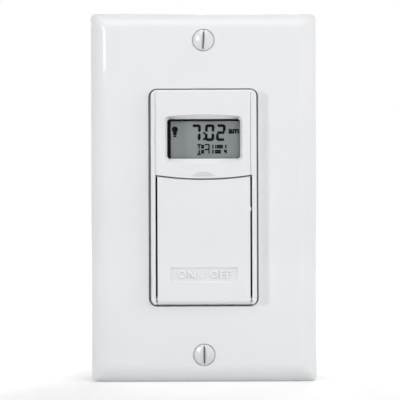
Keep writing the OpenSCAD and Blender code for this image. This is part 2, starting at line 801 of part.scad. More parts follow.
module front_bezel() {
    scoop_r = (scoop_w * scoop_w / 4 + scoop_h * scoop_h) / (2 * scoop_h);
    recess_top = door_top_z + door_gap;
    color("ivory")
        difference() {
            union() {
                difference() {
                    union() {
                        rolled_slab(bezel_w, bezel_h, front_y, flange_t, bezel_edge_r, bezel_edge_r,
                            bezel_corner_r);
                        along_y(0, flange_t)
                            rounded_rect(housing_w, housing_h, housing_corner_r);
                    }
                    along_y(front_y - eps, deck_front)
                        door_outline(inner_w, door_top_r - door_gap, -bezel_h / 2 - eps);
                    slab(inner_w, inner_h, deck_back, flange_t + eps);
                    block(-inner_w / 2, inner_w / 2, panel_back, deck_back + eps, bay_foot_z, inner_h / 2);
                }
                along_y(deck_back - eps, tray_back)
                    translate([0, (bay_top + bay_foot) / 2])
                        square([sleeve_w + 2 * sleeve_wall, sleeve_h + 2 * sleeve_wall], center = true);
                for (place = boss_places)
                    rod_y(boss_r, place[1] > 0 ? panel_back - eps : deck_back - eps, control_front,
                        place[0], place[1]);
            }
            slab(sleeve_w, sleeve_h, deck_front - eps, tray_back + eps, 0, (bay_top + bay_foot) / 2);
            block(-contact_w / 2 - tray_gap, contact_w / 2 + tray_gap, control_back - tray_gap,
                control_back + contact_t + tray_gap, bay_top - eps, sleeve_top + eps);
            along_y(front_y - eps, front_y + dish_d)
                dish_outline();
            along_y(front_y - eps, panel_back + eps)
                translate([0, window_z])
                    rounded_rect(window_w, window_h, window_r);
            intersection() {
                rod_y(scoop_r, front_y - eps, front_y + scoop_d, 0, recess_top + scoop_h - scoop_r);
                slab(scoop_w, 4 * scoop_h, front_y - eps, front_y + scoop_d, 0, recess_top);
            }
            for (side = [-1, 1])
                block(side * inner_w / 2 - groove_w / 2, side * inner_w / 2 + groove_w / 2, front_y - eps,
                    front_y + groove_d, door_top_z, bezel_h / 2 - bezel_corner_r);
            slab(on_off_w, on_off_h, deck_front - eps, deck_back + eps, 0, on_off_z);
            for (x = [-key_pitch, 0, key_pitch])
                slab(key_w, key_h, deck_front - eps, deck_back + eps, x, key_row_z);
            rod_y(reset_r, deck_front - eps, deck_back + eps, 0, reset_z);
            press_slot(pin_r + running_gap, pin_half + running_gap);
            press_slot(knuckle_r + door_gap / 2, inner_w / 2);
            for (place = boss_places)
                rod_y(board_screw_r + running_gap, control_front - board_screw_l - running_gap,
                    control_front + eps, place[0], place[1]);
            for (x = [-case_screw_x, case_screw_x], z = [-case_screw_z, case_screw_z])
                rod_y(case_screw_r + screw_gap, -eps, flange_t + eps, x, z);
        }
}

module display_lens() {
    color("whitesmoke", 0.35) {
        along_y(lens_front, panel_back)
            translate([0, window_z])
                rounded_rect(window_w - 2 * lens_gap, window_h - 2 * lens_gap, window_r);
        slab(window_w + 2 * lens_lip, window_h + 2 * lens_lip, panel_back, lens_back, 0, window_z);
    }
}

module lcd_frame() {
    color("black")
        difference() {
            slab(window_w + 2 * lens_lip, window_h + 2 * lens_lip, lens_back, lcd_frame_back, 0, window_z);
            block(lcd_left, lcd_right, lens_back - eps, lcd_frame_back + eps, lcd_foot, lcd_top);
        }
}

module lcd_panel() {
    color("lightslategray")
        block(lcd_left + lens_gap, lcd_right - lens_gap, lcd_front, lcd_back, lcd_foot + lens_gap,
            lcd_top - lens_gap);
}

// Conductive rubber strips between the display panel's edges and the board
module contact_strips() {
    color("dimgray")
        for (z = [lcd_foot + contact_strip_t, lcd_top - contact_strip_t])
            block(lcd_left + contact_strip_t, lcd_right - contact_strip_t, lcd_back, control_front,
                z - contact_strip_t / 2, z + contact_strip_t / 2);
}

module door() {
    color("ivory")
        difference() {
            union() {
                along_y(front_y, door_back)
                    door_outline(door_w, door_top_r, hinge_z);
                rod_x(knuckle_r, -door_w / 2, door_w / 2, hinge_y, hinge_z);
                slab(pad_w, pad_h, door_back - eps, pad_front, 0, on_off_z);
                rod_x(nub_r, door_w / 2 - eps, door_w / 2 + nub_reach, (front_y + door_back) / 2, nub_z);
            }
            rod_x(pin_r + running_gap, -door_w, door_w, hinge_y, hinge_z);
            slab(plaque_w, plaque_h, front_y - eps, front_y + plaque_d, 0, plaque_z);
        }
}

// The door swings on the pin, and the pin runs in the slots of the rails
module hinge_pin() {
    color("silver")
        rod_x(pin_r, -pin_half, pin_half, hinge_y, hinge_z);
}

// Key with a cap in the deck's opening and a lip behind the deck
module key(w, h, proud, x, z) {
    slab(w - 2 * key_gap, h - 2 * key_gap, deck_front - proud, lip_front, x, z);
    slab(w + 2 * key_lip, h + 2 * key_lip, lip_front, lip_back, x, z);
}

// Sunk bar in the face of a setting key
module key_mark(w, h, x) {
    slab(w, h, deck_front - key_proud - eps, deck_front - key_proud / 2, x, key_row_z);
}

module on_off_key() {
    color("lightgray")
        key(on_off_w, on_off_h, on_off_proud, 0, on_off_z);
}

module mode_key() {
    color("lightgray")
        difference() {
            key(key_w, key_h, key_proud, -key_pitch, key_row_z);
            rod_y(mark_l / 4, deck_front - key_proud - eps, deck_front - key_proud / 2, -key_pitch,
                key_row_z);
        }
}

module minus_key() {
    color("lightgray")
        difference() {
            key(key_w, key_h, key_proud, 0, key_row_z);
            key_mark(mark_l, mark_w, 0);
        }
}

module plus_key() {
    color("lightgray")
        difference() {
            key(key_w, key_h, key_proud, key_pitch, key_row_z);
            key_mark(mark_l, mark_w, key_pitch);
            key_mark(mark_w, mark_l, key_pitch);
        }
}

module reset_key() {
    color("firebrick") {
        rod_y(reset_r - key_gap, deck_front, lip_front, 0, reset_z);
        rod_y(reset_r + key_lip, lip_front, lip_back, 0, reset_z);
    }
}

module plunger(place) {
    color("black")
        rod_y(plunger_r, lip_back, switch_front + plunger_in, place[0], place[1]);
}

module on_off_plunger() {
    plunger(key_places[0]);
}

module mode_plunger() {
    plunger(key_places[1]);
}

module minus_plunger() {
    plunger(key_places[2]);
}

module plus_plunger() {
    plunger(key_places[3]);
}

module reset_plunger() {
    plunger(key_places[4]);
}

module key_switches() {
    color("dimgray")
        for (place = key_places)
            difference() {
                slab(switch_w, switch_w, switch_front, control_front, place[0], place[1]);
                rod_y(plunger_r + running_gap, switch_front - eps, switch_front + switch_well, place[0],
                    place[1]);
            }
}

module control_board() {
    color("darkgreen")
        difference() {
            block(-control_w / 2, control_w / 2, control_front, control_back, control_foot, control_top);
            for (place = boss_places)
                rod_y(board_screw_r + screw_gap, control_front - eps, control_back + eps, place[0], place[1]);
            for (x = link_xs)
                rod_y(link_pin_r + running_gap, control_front - eps, control_back + eps, x, link_z);
        }
}

module controller_chip() {
    color("black")
        slab(chip_w, chip_w, control_front - chip_t, control_front, chip_x, chip_z);
}

module clock_crystal() {
    color("silver")
        rod_x(crystal_r, -chip_x - crystal_l / 2, -chip_x + crystal_l / 2, control_front - crystal_r, chip_z);
}

module control_board_screws() {
    color("silver")
        for (place = boss_places)
            board_screw(control_front - board_screw_l, control_back, place[0], place[1]);
}

// Drawer for the cell that keeps the clock going
module battery_tray() {
    color("lightgray")
        difference() {
            block(-tray_w / 2, tray_w / 2, tray_front, tray_back, tray_foot, tray_foot + tray_h);
            rod_z(coin_r + coin_gap, coin_foot, tray_foot + tray_h + eps, 0, coin_y);
        }
}

module coin_cell() {
    color("silver") {
        rod_z(coin_r, coin_foot, coin_foot + coin_t, 0, coin_y);
        rod_z(coin_r - tray_wall, coin_foot + coin_t, coin_foot + coin_t + coin_cap_t, 0, coin_y);
    }
}

// One leaf lies on the cell's cap, the other bears on its rim through the tray's open end
module battery_contacts() {
    leaf_z = coin_foot + coin_t + coin_cap_t + running_gap;
    tail_z = control_foot + contact_t;
    color("goldenrod") {
        block(-contact_w / 2, contact_w / 2, control_back, coin_y, leaf_z, leaf_z + contact_t);
        block(-contact_w / 2, contact_w / 2, control_back, control_back + contact_t, leaf_z,
            tail_z + contact_t);
        block(-contact_w / 2, contact_w / 2, tray_back + tray_gap, tray_back + tray_gap + contact_t,
            bay_foot, tail_z + 2 * contact_t);
        block(-contact_w / 2 - contact_w, -contact_w / 2, control_back, tray_back + tray_gap + contact_t,
            tail_z + contact_t, tail_z + 2 * contact_t);
    }
}

// Plastic strips that hold the link pins on both boards
module header_strips() {
    strip_l = pin_count * pin_pitch;
    color("black")
        for (y = [control_back, power_front - link_strip_w])
            difference() {
                slab(strip_l, link_strip_w, y, y + link_strip_w, 0, link_z);
                for (x = link_xs)
                    rod_y(link_pin_r + running_gap, y - eps, y + link_strip_w + eps, x, link_z);
            }
}

module header_pins() {
    color("gold")
        for (x = link_xs)
            rod_y(link_pin_r, control_front, power_back, x, link_z);
}

module power_board() {
    notch_h = 2 * (wire_hole_r + running_gap);
    color("darkgreen")
        difference() {
            along_y(power_front, power_back) {
                square([power_w, power_mid_h], center = true);
                square([power_neck_w, power_h], center = true);
            }
            for (side = terminal_sides, z = terminal_heights)
                slab(2 * wire_space, notch_h, power_front - eps, power_back + eps, side * terminal_in,
                    z + wire_offset);
            for (place = post_places)
                rod_y(board_screw_r + screw_gap, power_front - eps, power_back + eps, place[0], place[1]);
            for (x = link_xs)
                rod_y(link_pin_r + running_gap, power_front - eps, power_back + eps, x, link_z);
        }
}

module power_board_screws() {
    color("silver")
        for (place = post_places) {
            rod_y(board_head_r, power_front - board_head_h, power_front, place[0], place[1]);
            rod_y(board_screw_r, power_front, power_back + board_screw_l, place[0], place[1]);
        }
}

module relay_base() {
    color("black")
        slab(relay_w, relay_l, relay_base_front, power_front, relay_x, relay_z);
}

module relay_yoke() {
    color("silver")
        difference() {
            union() {
                block(relay_x - yoke_w / 2, relay_x + yoke_w / 2, yoke_foot_front, relay_base_front,
                    armature_foot, upright_z + iron_t);
                block(relay_x - yoke_w / 2, relay_x + yoke_w / 2, yoke_tip, relay_base_front,
                    upright_z, upright_z + iron_t);
            }
            rod_y(core_r / 2 + running_gap, yoke_foot_front - eps, relay_base_front + eps, relay_x, relay_z);
        }
}

// Core with a riveted tail in the yoke
module relay_core() {
    color("silver") {
        rod_y(core_r, pole_y, yoke_foot_front, relay_x, relay_z);
        rod_y(core_r / 2, yoke_foot_front, relay_base_front, relay_x, relay_z);
    }
}

module relay_coil() {
    coil_front = pole_y + bobbin_flange_t;
    color("saddlebrown")
        difference() {
            union() {
                rod_y(coil_r, coil_front, yoke_foot_front, relay_x, relay_z);
                rod_y(bobbin_r, coil_front, coil_front + bobbin_flange_t, relay_x, relay_z);
                rod_y(bobbin_r, yoke_foot_front - bobbin_flange_t, yoke_foot_front, relay_x, relay_z);
            }
            rod_y(core_r + running_gap, coil_front - eps, yoke_foot_front + eps, relay_x, relay_z);
        }
}

// Tilts on the tip of the yoke and is drawn to the core
module relay_armature() {
    color("silver")
        block(relay_x - armature_w / 2, relay_x + armature_w / 2, armature_front, armature_back,
            armature_foot, upright_z + iron_t);
}

module relay_moving_contact() {
    color("goldenrod") {
        block(relay_x - 2 * button_r, relay_x + 2 * button_r, armature_front - leaf_t, armature_front,
            contact_z - button_r, relay_z);
        rod_y(button_r, armature_front, moving_y, relay_x, contact_z);
    }
}

module relay_fixed_contact() {
    color("goldenrod") {
        rod_y(button_r, fixed_y, fixed_y + button_h, relay_x, contact_z);
        block(relay_x - 2 * button_r, relay_x + 2 * button_r, fixed_y + button_h, relay_base_front,
            contact_z - button_r, contact_z + button_r);
    }
}

module relay_cover() {
    color("whitesmoke", 0.5)
        difference() {
            slab(relay_w, relay_l, relay_front, relay_base_front, relay_x, relay_z);
            slab(relay_w - 2 * relay_wall, relay_l - 2 * relay_wall, relay_front + relay_wall,
                relay_base_front + eps, relay_x, relay_z);
        }
}

module film_capacitor() {
    color("gold")
        slab(film_w, film_l, power_front - film_h, power_front, film_x, relay_z);
}

module smoothing_capacitor() {
    groove = smoothing_r / 12;
    neck_y = power_front - smoothing_h / 6;
    color("midnightblue")
        difference() {
            rod_y(smoothing_r, power_front - smoothing_h, power_front, smoothing_x, smoothing_z);
            difference() {
                rod_y(smoothing_r + eps, neck_y, neck_y + 2 * groove, smoothing_x, smoothing_z);
                rod_y(smoothing_r - groove, neck_y - eps, neck_y + 2 * groove + eps, smoothing_x,
                    smoothing_z);
            }
        }
}

// Two legs that hold a raised part on the board
module legs(xs, z, y0) {
    for (x = xs)
        rod_y(lead_r, y0, power_front, x, z);
}

module surge_varistor() {
    varistor_y = power_front - lead_h - varistor_r;
    color("royalblue") {
        rod_x(varistor_r, varistor_x - varistor_t / 2, varistor_x + varistor_t / 2, varistor_y, smoothing_z);
        legs([varistor_x - varistor_t / 4, varistor_x + varistor_t / 4], smoothing_z, varistor_y);
    }
}

module fusible_resistor() {
    resistor_y = power_front - lead_h - resistor_r;
    color("tan") {
        rod_x(resistor_r, -resistor_l / 2, resistor_l / 2, resistor_y, resistor_z);
        legs([-resistor_l / 3, resistor_l / 3], resistor_z, resistor_y);
    }
}

module bridge_rectifier() {
    color("black")
        slab(rectifier_w, rectifier_l, power_front - rectifier_h, power_front, rectifier_x, smoothing_z);
}

module rear_housing() {
    color("dimgray")
        difference() {
            union() {
                difference() {
                    along_y(flange_t, housing_back)
                        rounded_rect(housing_w, housing_h, housing_corner_r);
                    slab(housing_w - 2 * housing_wall, housing_h - 2 * housing_wall, flange_t - eps,
                        housing_inner);
                }
                for (x = [-case_screw_x, case_screw_x], z = [-case_screw_z, case_screw_z])
                    rod_y(column_r, flange_t, housing_inner + eps, x, z);
                for (place = post_places)
                    rod_y(post_r, power_back, housing_inner + eps, place[0], place[1]);
            }
            for (x = [-case_screw_x, case_screw_x], z = [-case_screw_z, case_screw_z])
                rod_y(case_screw_r + running_gap, flange_t - eps, flange_t + case_screw_l + screw_gap, x, z);
            for (place = post_places)
                rod_y(board_screw_r + running_gap, power_back - eps, power_back + board_screw_l + screw_gap,
                    place[0], place[1]);
            for (side = terminal_sides, z = terminal_heights) {
                rod_y(wire_hole_r, housing_inner - eps, housing_back + eps, side * wire_x, z + wire_offset);
                rod_x(screw_r + screw_gap, side > 0 ? terminal_out - eps : -housing_w / 2 - eps,
                    side > 0 ? housing_w / 2 + eps : -terminal_out + eps, terminal_y, z);
            }
        }
}

// Brass plates inside the side walls; each reaches back to the edge of the power board
module terminal_plates() {
    color("goldenrod")
        for (side = terminal_sides, z = terminal_heights)
            difference() {
                slab(terminal_t, terminal_w, terminal_y - clamp_l / 2, power_back,
                    side * (terminal_in + terminal_t / 2), z);
                rod_x(screw_r + running_gap, side > 0 ? terminal_in - eps : -terminal_out - eps,
                    side > 0 ? terminal_out + eps : -terminal_in + eps, terminal_y, z);
            }
}

module wire_clamps() {
    color("goldenrod")
        for (side = terminal_sides, z = terminal_heights)
            difference() {
                slab(clamp_t, terminal_w, terminal_y - clamp_l / 2, terminal_y + clamp_l / 2,
                    side * (clamp_in + clamp_t / 2), z);
                rod_x(screw_r + running_gap, side > 0 ? clamp_in - eps : -clamp_out - eps,
                    side > 0 ? clamp_out + eps : -clamp_in + eps, terminal_y, z);
            }
}

module terminal_screws() {
    tip = clamp_in - terminal_tip;
    head = housing_w / 2;
    color("goldenrod")
        for (side = terminal_sides, z = terminal_heights)
            mirror([side > 0 ? 0 : 1, 0, 0])
                difference() {
                    union() {
                        rod_x(screw_r, tip, head, terminal_y, z);
                        rod_x(flat_head_r, head, head + flat_head_h, terminal_y, z);
                    }
                    block(head + flat_head_h - driver_slot_d, head + flat_head_h + eps,
                        terminal_y - driver_slot_w / 2, terminal_y + driver_slot_w / 2,
                        z - flat_head_r - eps, z + flat_head_r + eps);
                }
}

module case_screws() {
    color("silver")
        for (x = [-case_screw_x, case_screw_x], z = [-case_screw_z, case_screw_z])
            flat_screw(case_screw_r, case_head_r, -strap_t, flange_t + case_screw_l, x, z);
}

wall_plate();
plate_screws();
mounting_strap();
box_screws();
ground_screw();
front_bezel();
display_lens();
lcd_frame();
lcd_panel();
contact_strips();
door();
hinge_pin();
on_off_key();
mode_key();
minus_key();
plus_key();
reset_key();
on_off_plunger();
mode_plunger();
minus_plunger();
plus_plunger();
reset_plunger();
key_switches();
control_board();
controller_chip();
clock_crystal();
control_board_screws();
battery_tray();
coin_cell();
battery_contacts();
header_strips();
header_pins();
power_board();
power_board_screws();
relay_base();
relay_coil();
relay_core();
relay_yoke();
relay_armature();
relay_moving_contact();
relay_fixed_contact();
relay_cover();
film_capacitor();
smoothing_capacitor();
surge_varistor();
fusible_resistor();
bridge_rectifier();
rear_housing();
terminal_plates();
wire_clamps();
terminal_screws();
case_screws();
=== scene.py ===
"""Looks of a timer light switch: mouldings, display, keys, screws and a plain stage round its frame."""
import contextlib
import json
import math

import bmesh
import bpy
from mathutils import Matrix, Vector


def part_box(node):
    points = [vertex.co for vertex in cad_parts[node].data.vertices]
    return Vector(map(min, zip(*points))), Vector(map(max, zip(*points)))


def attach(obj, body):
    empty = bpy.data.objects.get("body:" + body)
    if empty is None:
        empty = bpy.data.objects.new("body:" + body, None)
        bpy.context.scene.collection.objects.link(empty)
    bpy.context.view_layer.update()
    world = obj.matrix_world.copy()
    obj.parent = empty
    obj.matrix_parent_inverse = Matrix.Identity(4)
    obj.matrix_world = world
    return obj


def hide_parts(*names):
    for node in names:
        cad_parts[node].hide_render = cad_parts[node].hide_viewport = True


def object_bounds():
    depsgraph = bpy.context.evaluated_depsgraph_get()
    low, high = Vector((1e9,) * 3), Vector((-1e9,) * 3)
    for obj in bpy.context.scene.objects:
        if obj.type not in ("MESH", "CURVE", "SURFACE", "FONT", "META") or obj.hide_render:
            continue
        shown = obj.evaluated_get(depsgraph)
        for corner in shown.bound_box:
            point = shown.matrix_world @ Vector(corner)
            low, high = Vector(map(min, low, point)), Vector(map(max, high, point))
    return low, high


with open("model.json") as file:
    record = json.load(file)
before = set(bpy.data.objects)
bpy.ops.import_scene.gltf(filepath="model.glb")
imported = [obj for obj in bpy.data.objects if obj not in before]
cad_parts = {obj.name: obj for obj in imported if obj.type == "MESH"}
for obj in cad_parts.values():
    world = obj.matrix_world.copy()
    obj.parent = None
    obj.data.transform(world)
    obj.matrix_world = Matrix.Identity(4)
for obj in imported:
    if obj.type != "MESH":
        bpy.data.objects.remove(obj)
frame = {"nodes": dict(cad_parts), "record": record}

bl_info = {
    "name": "Timer light switch",
    "version": (1, 0, 0),
    "blender": (4, 5, 0),
    "location": "View3D > Sidebar > Timer Switch",
    "description": "Models the mouldings, display, keys and screws of a timer light switch on its frame",
    "category": "Add Mesh",
}

MM = 0.001
CAD_LOW, CAD_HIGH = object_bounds()
# How far a cutting shape reaches past the face that it cuts
CLEAR = 0.5 * MM
# How far a shape that is fused to another reaches into it
SUNK = 0.1 * MM
# Distance within which two coordinates count as the same
NEAR = 0.002 * MM
# Angle between two faces past which their edge counts as sharp
SHARP = math.radians(30)
# Angle between two faces up to which their edge is shaded smooth
SMOOTH = math.radians(35)
# Turn of a shape that is drawn along z so that it runs along another axis
TURN = {"X": (0, math.pi / 2, 0), "Y": (-math.pi / 2, 0, 0), "Z": (0, 0, 0)}
# Turn of a flat shape so that it stands upright and faces the viewer
UPRIGHT = (math.pi / 2, 0, 0)
# Least share of an edge's length that counts as running along an axis
ALONG = 0.95
# Least share of a normal that counts as facing along an axis
FACING = 0.9
# Share of a screw's root radius that is left at its tip
TIP = 0.7
# Straight pieces in one turn of a thread
THREAD_STEPS = 24


def size(name, text, millimetres):
    """A length that a user may change, given in millimetres."""
    return bpy.props.FloatProperty(
        name=name, description=text, default=millimetres * MM, unit="LENGTH", precision=5
    )


def tint(name, text, colour):
    """A colour that a user may change."""
    return bpy.props.FloatVectorProperty(
        name=name, description=text, default=colour, size=3, subtype="COLOR", min=0, max=1
    )


def amount(name, text, value):
    """A plain number that a user may change."""
    return bpy.props.FloatProperty(name=name, description=text, default=value, precision=4)


class PlateSizes(bpy.types.PropertyGroup):
    """Sizes of the wall plate and of the opening in it"""

    roll_run: size("Roll width", "Width of the rolled edge round the face", 6)
    roll_drop: size("Roll drop", "How far the rolled edge drops from the face", 3.7)
    corner_round: size("Corner", "Corner radius of the plate, seen from the front", 1.5)
    wall: size("Wall", "Thickness of the plate's face", 2)
    rim: size("Rim", "Width of the rim that rests on the wall", 2.6)
    opening_left: size("Left gap", "Gap between the opening and the bezel's left side", 0.72)
    opening_right: size("Right gap", "Gap between the opening and the bezel's right side", 0.53)
    opening_end_gap: size("Opening end gap", "Gap between the opening and the bezel's ends", 0.44)
    opening_round: size("Opening edge", "Rounding of the opening's front edge", 0.2)
    seat_round: size("Seat edge", "Rounding of the edge of a screw seat", 0.12)
    boss_radius: size("Boss", "Radius of the bosses behind the screws", 3.1)
    boss_back: size("Boss end", "Depth of the bosses' ends, where they meet the strap", -1.2)
    rib_width: size("Rib", "Thickness of the stiffening ribs in the back", 1)
    rib_depth: size("Rib depth", "Height of the stiffening ribs", 1.6)
    rib_pitch: size("Rib pitch", "Distance between the stiffening ribs", 24)
    rib_start: size("Rib start", "Distance of the ribs' inner ends from the middle", 23.5)


class ScrewSizes(bpy.types.PropertyGroup):
    """Sizes of the screws"""

    plate_place: size("Plate screws", "Distance of the plate screws from the middle", 48.42)
    box_place: size("Box screws", "Distance of the box screws from the middle", 41.67)
    thread: size("Thread", "Outer radius of the threads", 1.75)
    thread_depth: size("Thread depth", "Depth of the threads", 0.28)
    pitch: size("Pitch", "Distance between two turns of a thread", 0.8)
    plate_thread: size("Plate thread", "Depth at which a plate screw's thread starts", -1.0)
    shank_gap: size("Shank", "How far a plain shank lies under its thread", 0.1)
    slot_width: size("Slot width", "Width of the driver slots", 1)
    slot_depth: size("Slot depth", "Depth of the driver slots", 0.8)
    flare_width: size("Flare width", "Width of a plate screw's slot at its painted top", 1.5)
    flare_depth: size("Flare depth", "Depth of the painted flanks of a plate screw's slot", 0.95)
    # The kerf's faces are coloured dark to paint the shade in the bottom of the slot
    kerf_width: size("Kerf width", "Width of the bare bottom of a plate screw's slot", 0.36)
    kerf_length: size("Kerf length", "Length of the bare bottom of a plate screw's slot", 5.2)
    oval_radius: size("Oval head", "Radius of a plate screw's oval head", 3.2)
    oval_rise: size("Oval rise", "Rise of the oval head above the plate", 0.88)
    oval_sink: size("Oval sink", "Depth of the countersink under the oval head", 1.5)
    flat_radius: size("Flat head", "Radius of the flat heads", 3.1)
    flat_height: size("Flat height", "Height of the flat heads", 1.6)
    flat_edge: size("Flat edge", "Rounding of the flat heads' edges", 0.25)
    case_head: size("Case head", "Radius of the case screws' heads", 2.4)
    board_head: size("Board head", "Radius of the heads of the circuit boards' screws", 1.8)
    board_hole: size("Board hole", "Radius of the holes for the circuit boards' screws", 0.95)
    hole_gap: size("Hole gap", "Clearance round a thread in its hole", 0.1)
    seat_gap: size("Seat gap", "Clearance round an oval head in its seat", 0.24)
    seat_groove: size("Seat groove", "Depth of the upright wall round an oval head", 0.9)
    slot_lean: bpy.props.FloatProperty(
        name="Slot lean",
        description="Turn of the upper plate screw from upright",
        default=math.radians(3),
        subtype="ANGLE",
    )


class BezelSizes(bpy.types.PropertyGroup):
    """Sizes of the module's moulded front"""

    width: size("Width", "Width of the bezel", 32.44)
    height: size("Height", "Height of the bezel", 66.1)
    corner_round: size("Corner", "Corner radius, seen from the front", 2.0)
    edge_round: size("Edge", "Rounding of the outer front edges", 0.7)
    inner_round: size("Inner edge", "Rounding of the edges round the door", 0.4)
    rail: size("Rail", "Width of the side rails", 1.42)
    panel_back: size("Panel back", "Depth of the back of the upper panel", -5.3)
    deck_front: size("Deck front", "Depth of the front of the keypad deck", -4.2)
    deck_back: size("Deck back", "Depth of the back of the keypad deck", -2.9)
    bay_foot: size("Bay foot", "Height of the foot of the display bay", 8.3)
    flange: size("Flange", "Thickness of the flange behind the strap", 1.6)
    flange_round: size("Flange corner", "Corner radius of the flange", 2)
    groove_width: size("Groove width", "Width of the fine grooves beside the panel", 0.17)
    groove_depth: size("Groove depth", "Depth of the fine grooves", 0.4)
    groove_left: size("Left groove", "Distance of the left groove from the middle", 14.8)
    groove_right: size("Right groove", "Distance of the right groove from the middle", 14.4)
    groove_end: size("Groove end", "Distance of the grooves' upper ends from the bezel's top", 0.9)
    scoop_width: size("Scoop width", "Width of the finger scoop above the door", 7.9)
    scoop_height: size("Scoop height", "Height of the finger scoop", 1.5)
    scoop_depth: size("Scoop depth", "Depth of the finger scoop at its lower edge", 1.15)
    scoop_lip: size("Scoop lip", "Height of the lip under the finger scoop", 0.55)
    window_width: size("Window width", "Width of the display window", 22.4)
    window_height: size("Window height", "Height of the display window", 12.2)
    window_place: size("Window place", "Height of the window's middle", 18.0)
    window_round: size("Window corner", "Corner radius of the window", 0.9)
    dish_depth: size("Dish depth", "Depth of the dished surround of the window", 1.3)
    dish_side: size("Dish side", "Width of the surround at the window's sides and top", 0.65)
    pane_drop: size("Pane drop", "How far the clear window lies under the dish", 0.1)
    dish_foot: size("Dish foot", "Width of the surround under the window's corners", 0.65)
    dish_top_arch: size("Top arch", "Arch of the surround's upper edge", 0.7)
    dish_foot_arch: size("Foot arch", "Arch of the surround's lower edge", 0.95)
    pane_gap: size("Pane gap", "Clearance of the clear window in its opening", 0.05)
    pane_round: size("Pane edge", "Rounding of the clear window's front edges", 0.2)
    sleeve_wall: size("Sleeve wall", "Wall of the battery tray's sleeve", 0.9)
    sleeve_gap: size("Sleeve gap", "Distance of the sleeve's inside from the control board", 1.6)
    boss_radius: size("Boss", "Radius of the bosses for the control board", 1.5)
    ear: size("Ear", "Thickness of the ears that close the gap beside the door's foot", 0.48)
    ear_height: size("Ear height", "Height of those ears", 0.7)


class DoorSizes(bpy.types.PropertyGroup):
    """Sizes of the press door"""

    gap: size("Gap", "Gap between the door and the bezel", 0.48)
    thickness: size("Thickness", "Thickness of the door", 1.6)
    half_width: size("Half width", "Half the width of the door", 14.2)
    top_drop: size("Top drop", "How far the top edge lies under the top of the frame's door", 0.2)
    top_dip: size("Top dip", "How far the top edge dips between its corners", 1.05)
    knuckle: size("Knuckle", "Radius of the rounded foot", 1.5)
    pin: size("Pin", "Radius of the hinge pin", 0.6)
    pin_gap: size("Pin gap", "Running clearance of the pin", 0.05)
    press: size("Press", "How far the door and its pin press in", 0.5)
    edge_round: size("Edge", "Rounding of the front edges", 0.35)
    plaque_width: size("Plaque width", "Width of the shallow plaque", 20.4)
    plaque_height: size("Plaque height", "Height of the plaque", 4.3)
    plaque_place: size("Plaque place", "Height of the plaque's middle", -23.7)
    plaque_depth: size("Plaque depth", "Depth of the plaque", 0.4)
    plaque_round: size("Plaque edge", "Rounding of the plaque's edges", 0.12)
    letter_height: size("Letters", "Size of the raised letters on the plaque", 3.2)
    letter_rise: size("Letter rise", "Rise of the letters from the plaque's floor", 0.4)
    letter_slope: size("Letter slope", "Width of the letters' sloping edges", 0.2)
    letter_space: amount("Letter space", "Distance between the letters, as a share of the usual one", 1.25)
    pad_width: size("Pad width", "Width of the press pad behind the door", 6)
    pad_height: size("Pad height", "Height of the press pad", 4)
    pad_place: size("Pad place", "Height of the press pad's middle", -0.5)
    pad_front: size("Pad end", "Depth of the press pad's end", -5.4)
    nub_radius: size("Nub", "Radius of the catch nub", 0.7)
    nub_place: size("Nub place", "Height of the catch nub", -3.6)


class KeySizes(bpy.types.PropertyGroup):
    """Sizes of the keys under the door and of the film round them"""

    lip: size("Lip", "How far a key's lip reaches behind the deck", 0.8)
    lip_thickness: size("Lip thickness", "Thickness of the lip", 1)
    gap: size("Gap", "Clearance of a key in its opening", 0.2)
    corner_round: size("Corner", "Corner radius of a key cap", 0.5)
    edge_round: size("Edge", "Rounding of a key cap's front edges", 0.25)
    mark_length: size("Mark length", "Length of the sunk marks", 2.2)
    mark_width: size("Mark width", "Width of the sunk marks", 0.6)
    mark_depth: size("Mark depth", "Depth of the sunk marks", 0.4)
    film: size("Film", "Thickness of the dark film on the deck", 0.1)
    reset_edge: size("Reset edge", "Rounding of the reset key's edge", 0.15)
    reset_hole: size("Reset hole", "Radius of the film's hole round the reset key", 1.3)
    film_gap: size("Film gap", "Clearance of the film round the keys", 0.15)
    tray_gap: size("Tray gap", "Clearance of the film beside and under the tray", 0.3)
    tray_gap_top: size("Upper tray gap", "Clearance of the film above the tray", 0.6)
    film_foot: size("Film foot", "Distance of the film's foot from the foot of the bezel", 2.65)
    film_edge: size("Film edge", "Clearance of the film from the walls round the deck", 0.02)
    letter_height: size("Letters", "Height of the letters on the ON/OFF key", 1.7)
    print_thickness: size("Print", "Thickness of printed marks", 0.03)


class DisplaySizes(bpy.types.PropertyGroup):
    """Sizes of what the display shows"""

    thickness: size("Thickness", "Thickness of the drawn segments", 0.04)
    time: bpy.props.StringProperty(name="Time", description="The three figures of the time", default="702")
    slant: amount("Slant", "How far the figures lean, as a share of their height", 0.03)
    time_height: size("Time height", "Height of the time's figures", 5.15)
    time_width: size("Time width", "Width of the time's figures", 2.9)
    time_stroke: size("Time stroke", "Width of the time's strokes", 0.84)
    time_foot: size("Time foot", "Height of the foot of the time's figures", 17.42)
    colon_across: size("Colon", "Place of the colon's left edge, from the middle", -0.2)
    row_stroke: size("Row stroke", "Width of the small figures' strokes", 0.42)
    letter_height: size("Letters", "Size of the letters beside the time", 2.7)
    letter_weight: size("Letter weight", "How much bolder the letters are drawn", 0.12)
    letter_across: size("Letters across", "Place of the letters' middle, sideways", 9.35)
    letter_up: size("Letters up", "Height of the letters' middle", 20.6)
    lamp_across: size("Lamp across", "Place of the lamp sign, sideways", -8.85)
    lamp_up: size("Lamp up", "Height of the middle of the lamp sign's globe", 21.0)
    lamp_radius: size("Lamp globe", "Radius of the lamp sign's globe", 0.95)
    glass_left: size("Glass left", "How far the glass reaches past the frame's panel at its left", 0.27)
    glass_top: size("Glass top", "How far the glass reaches past the frame's panel at its top", 0.2)
    glass_edge: size("Glass edge", "Ground edge of the glass", 0.1)


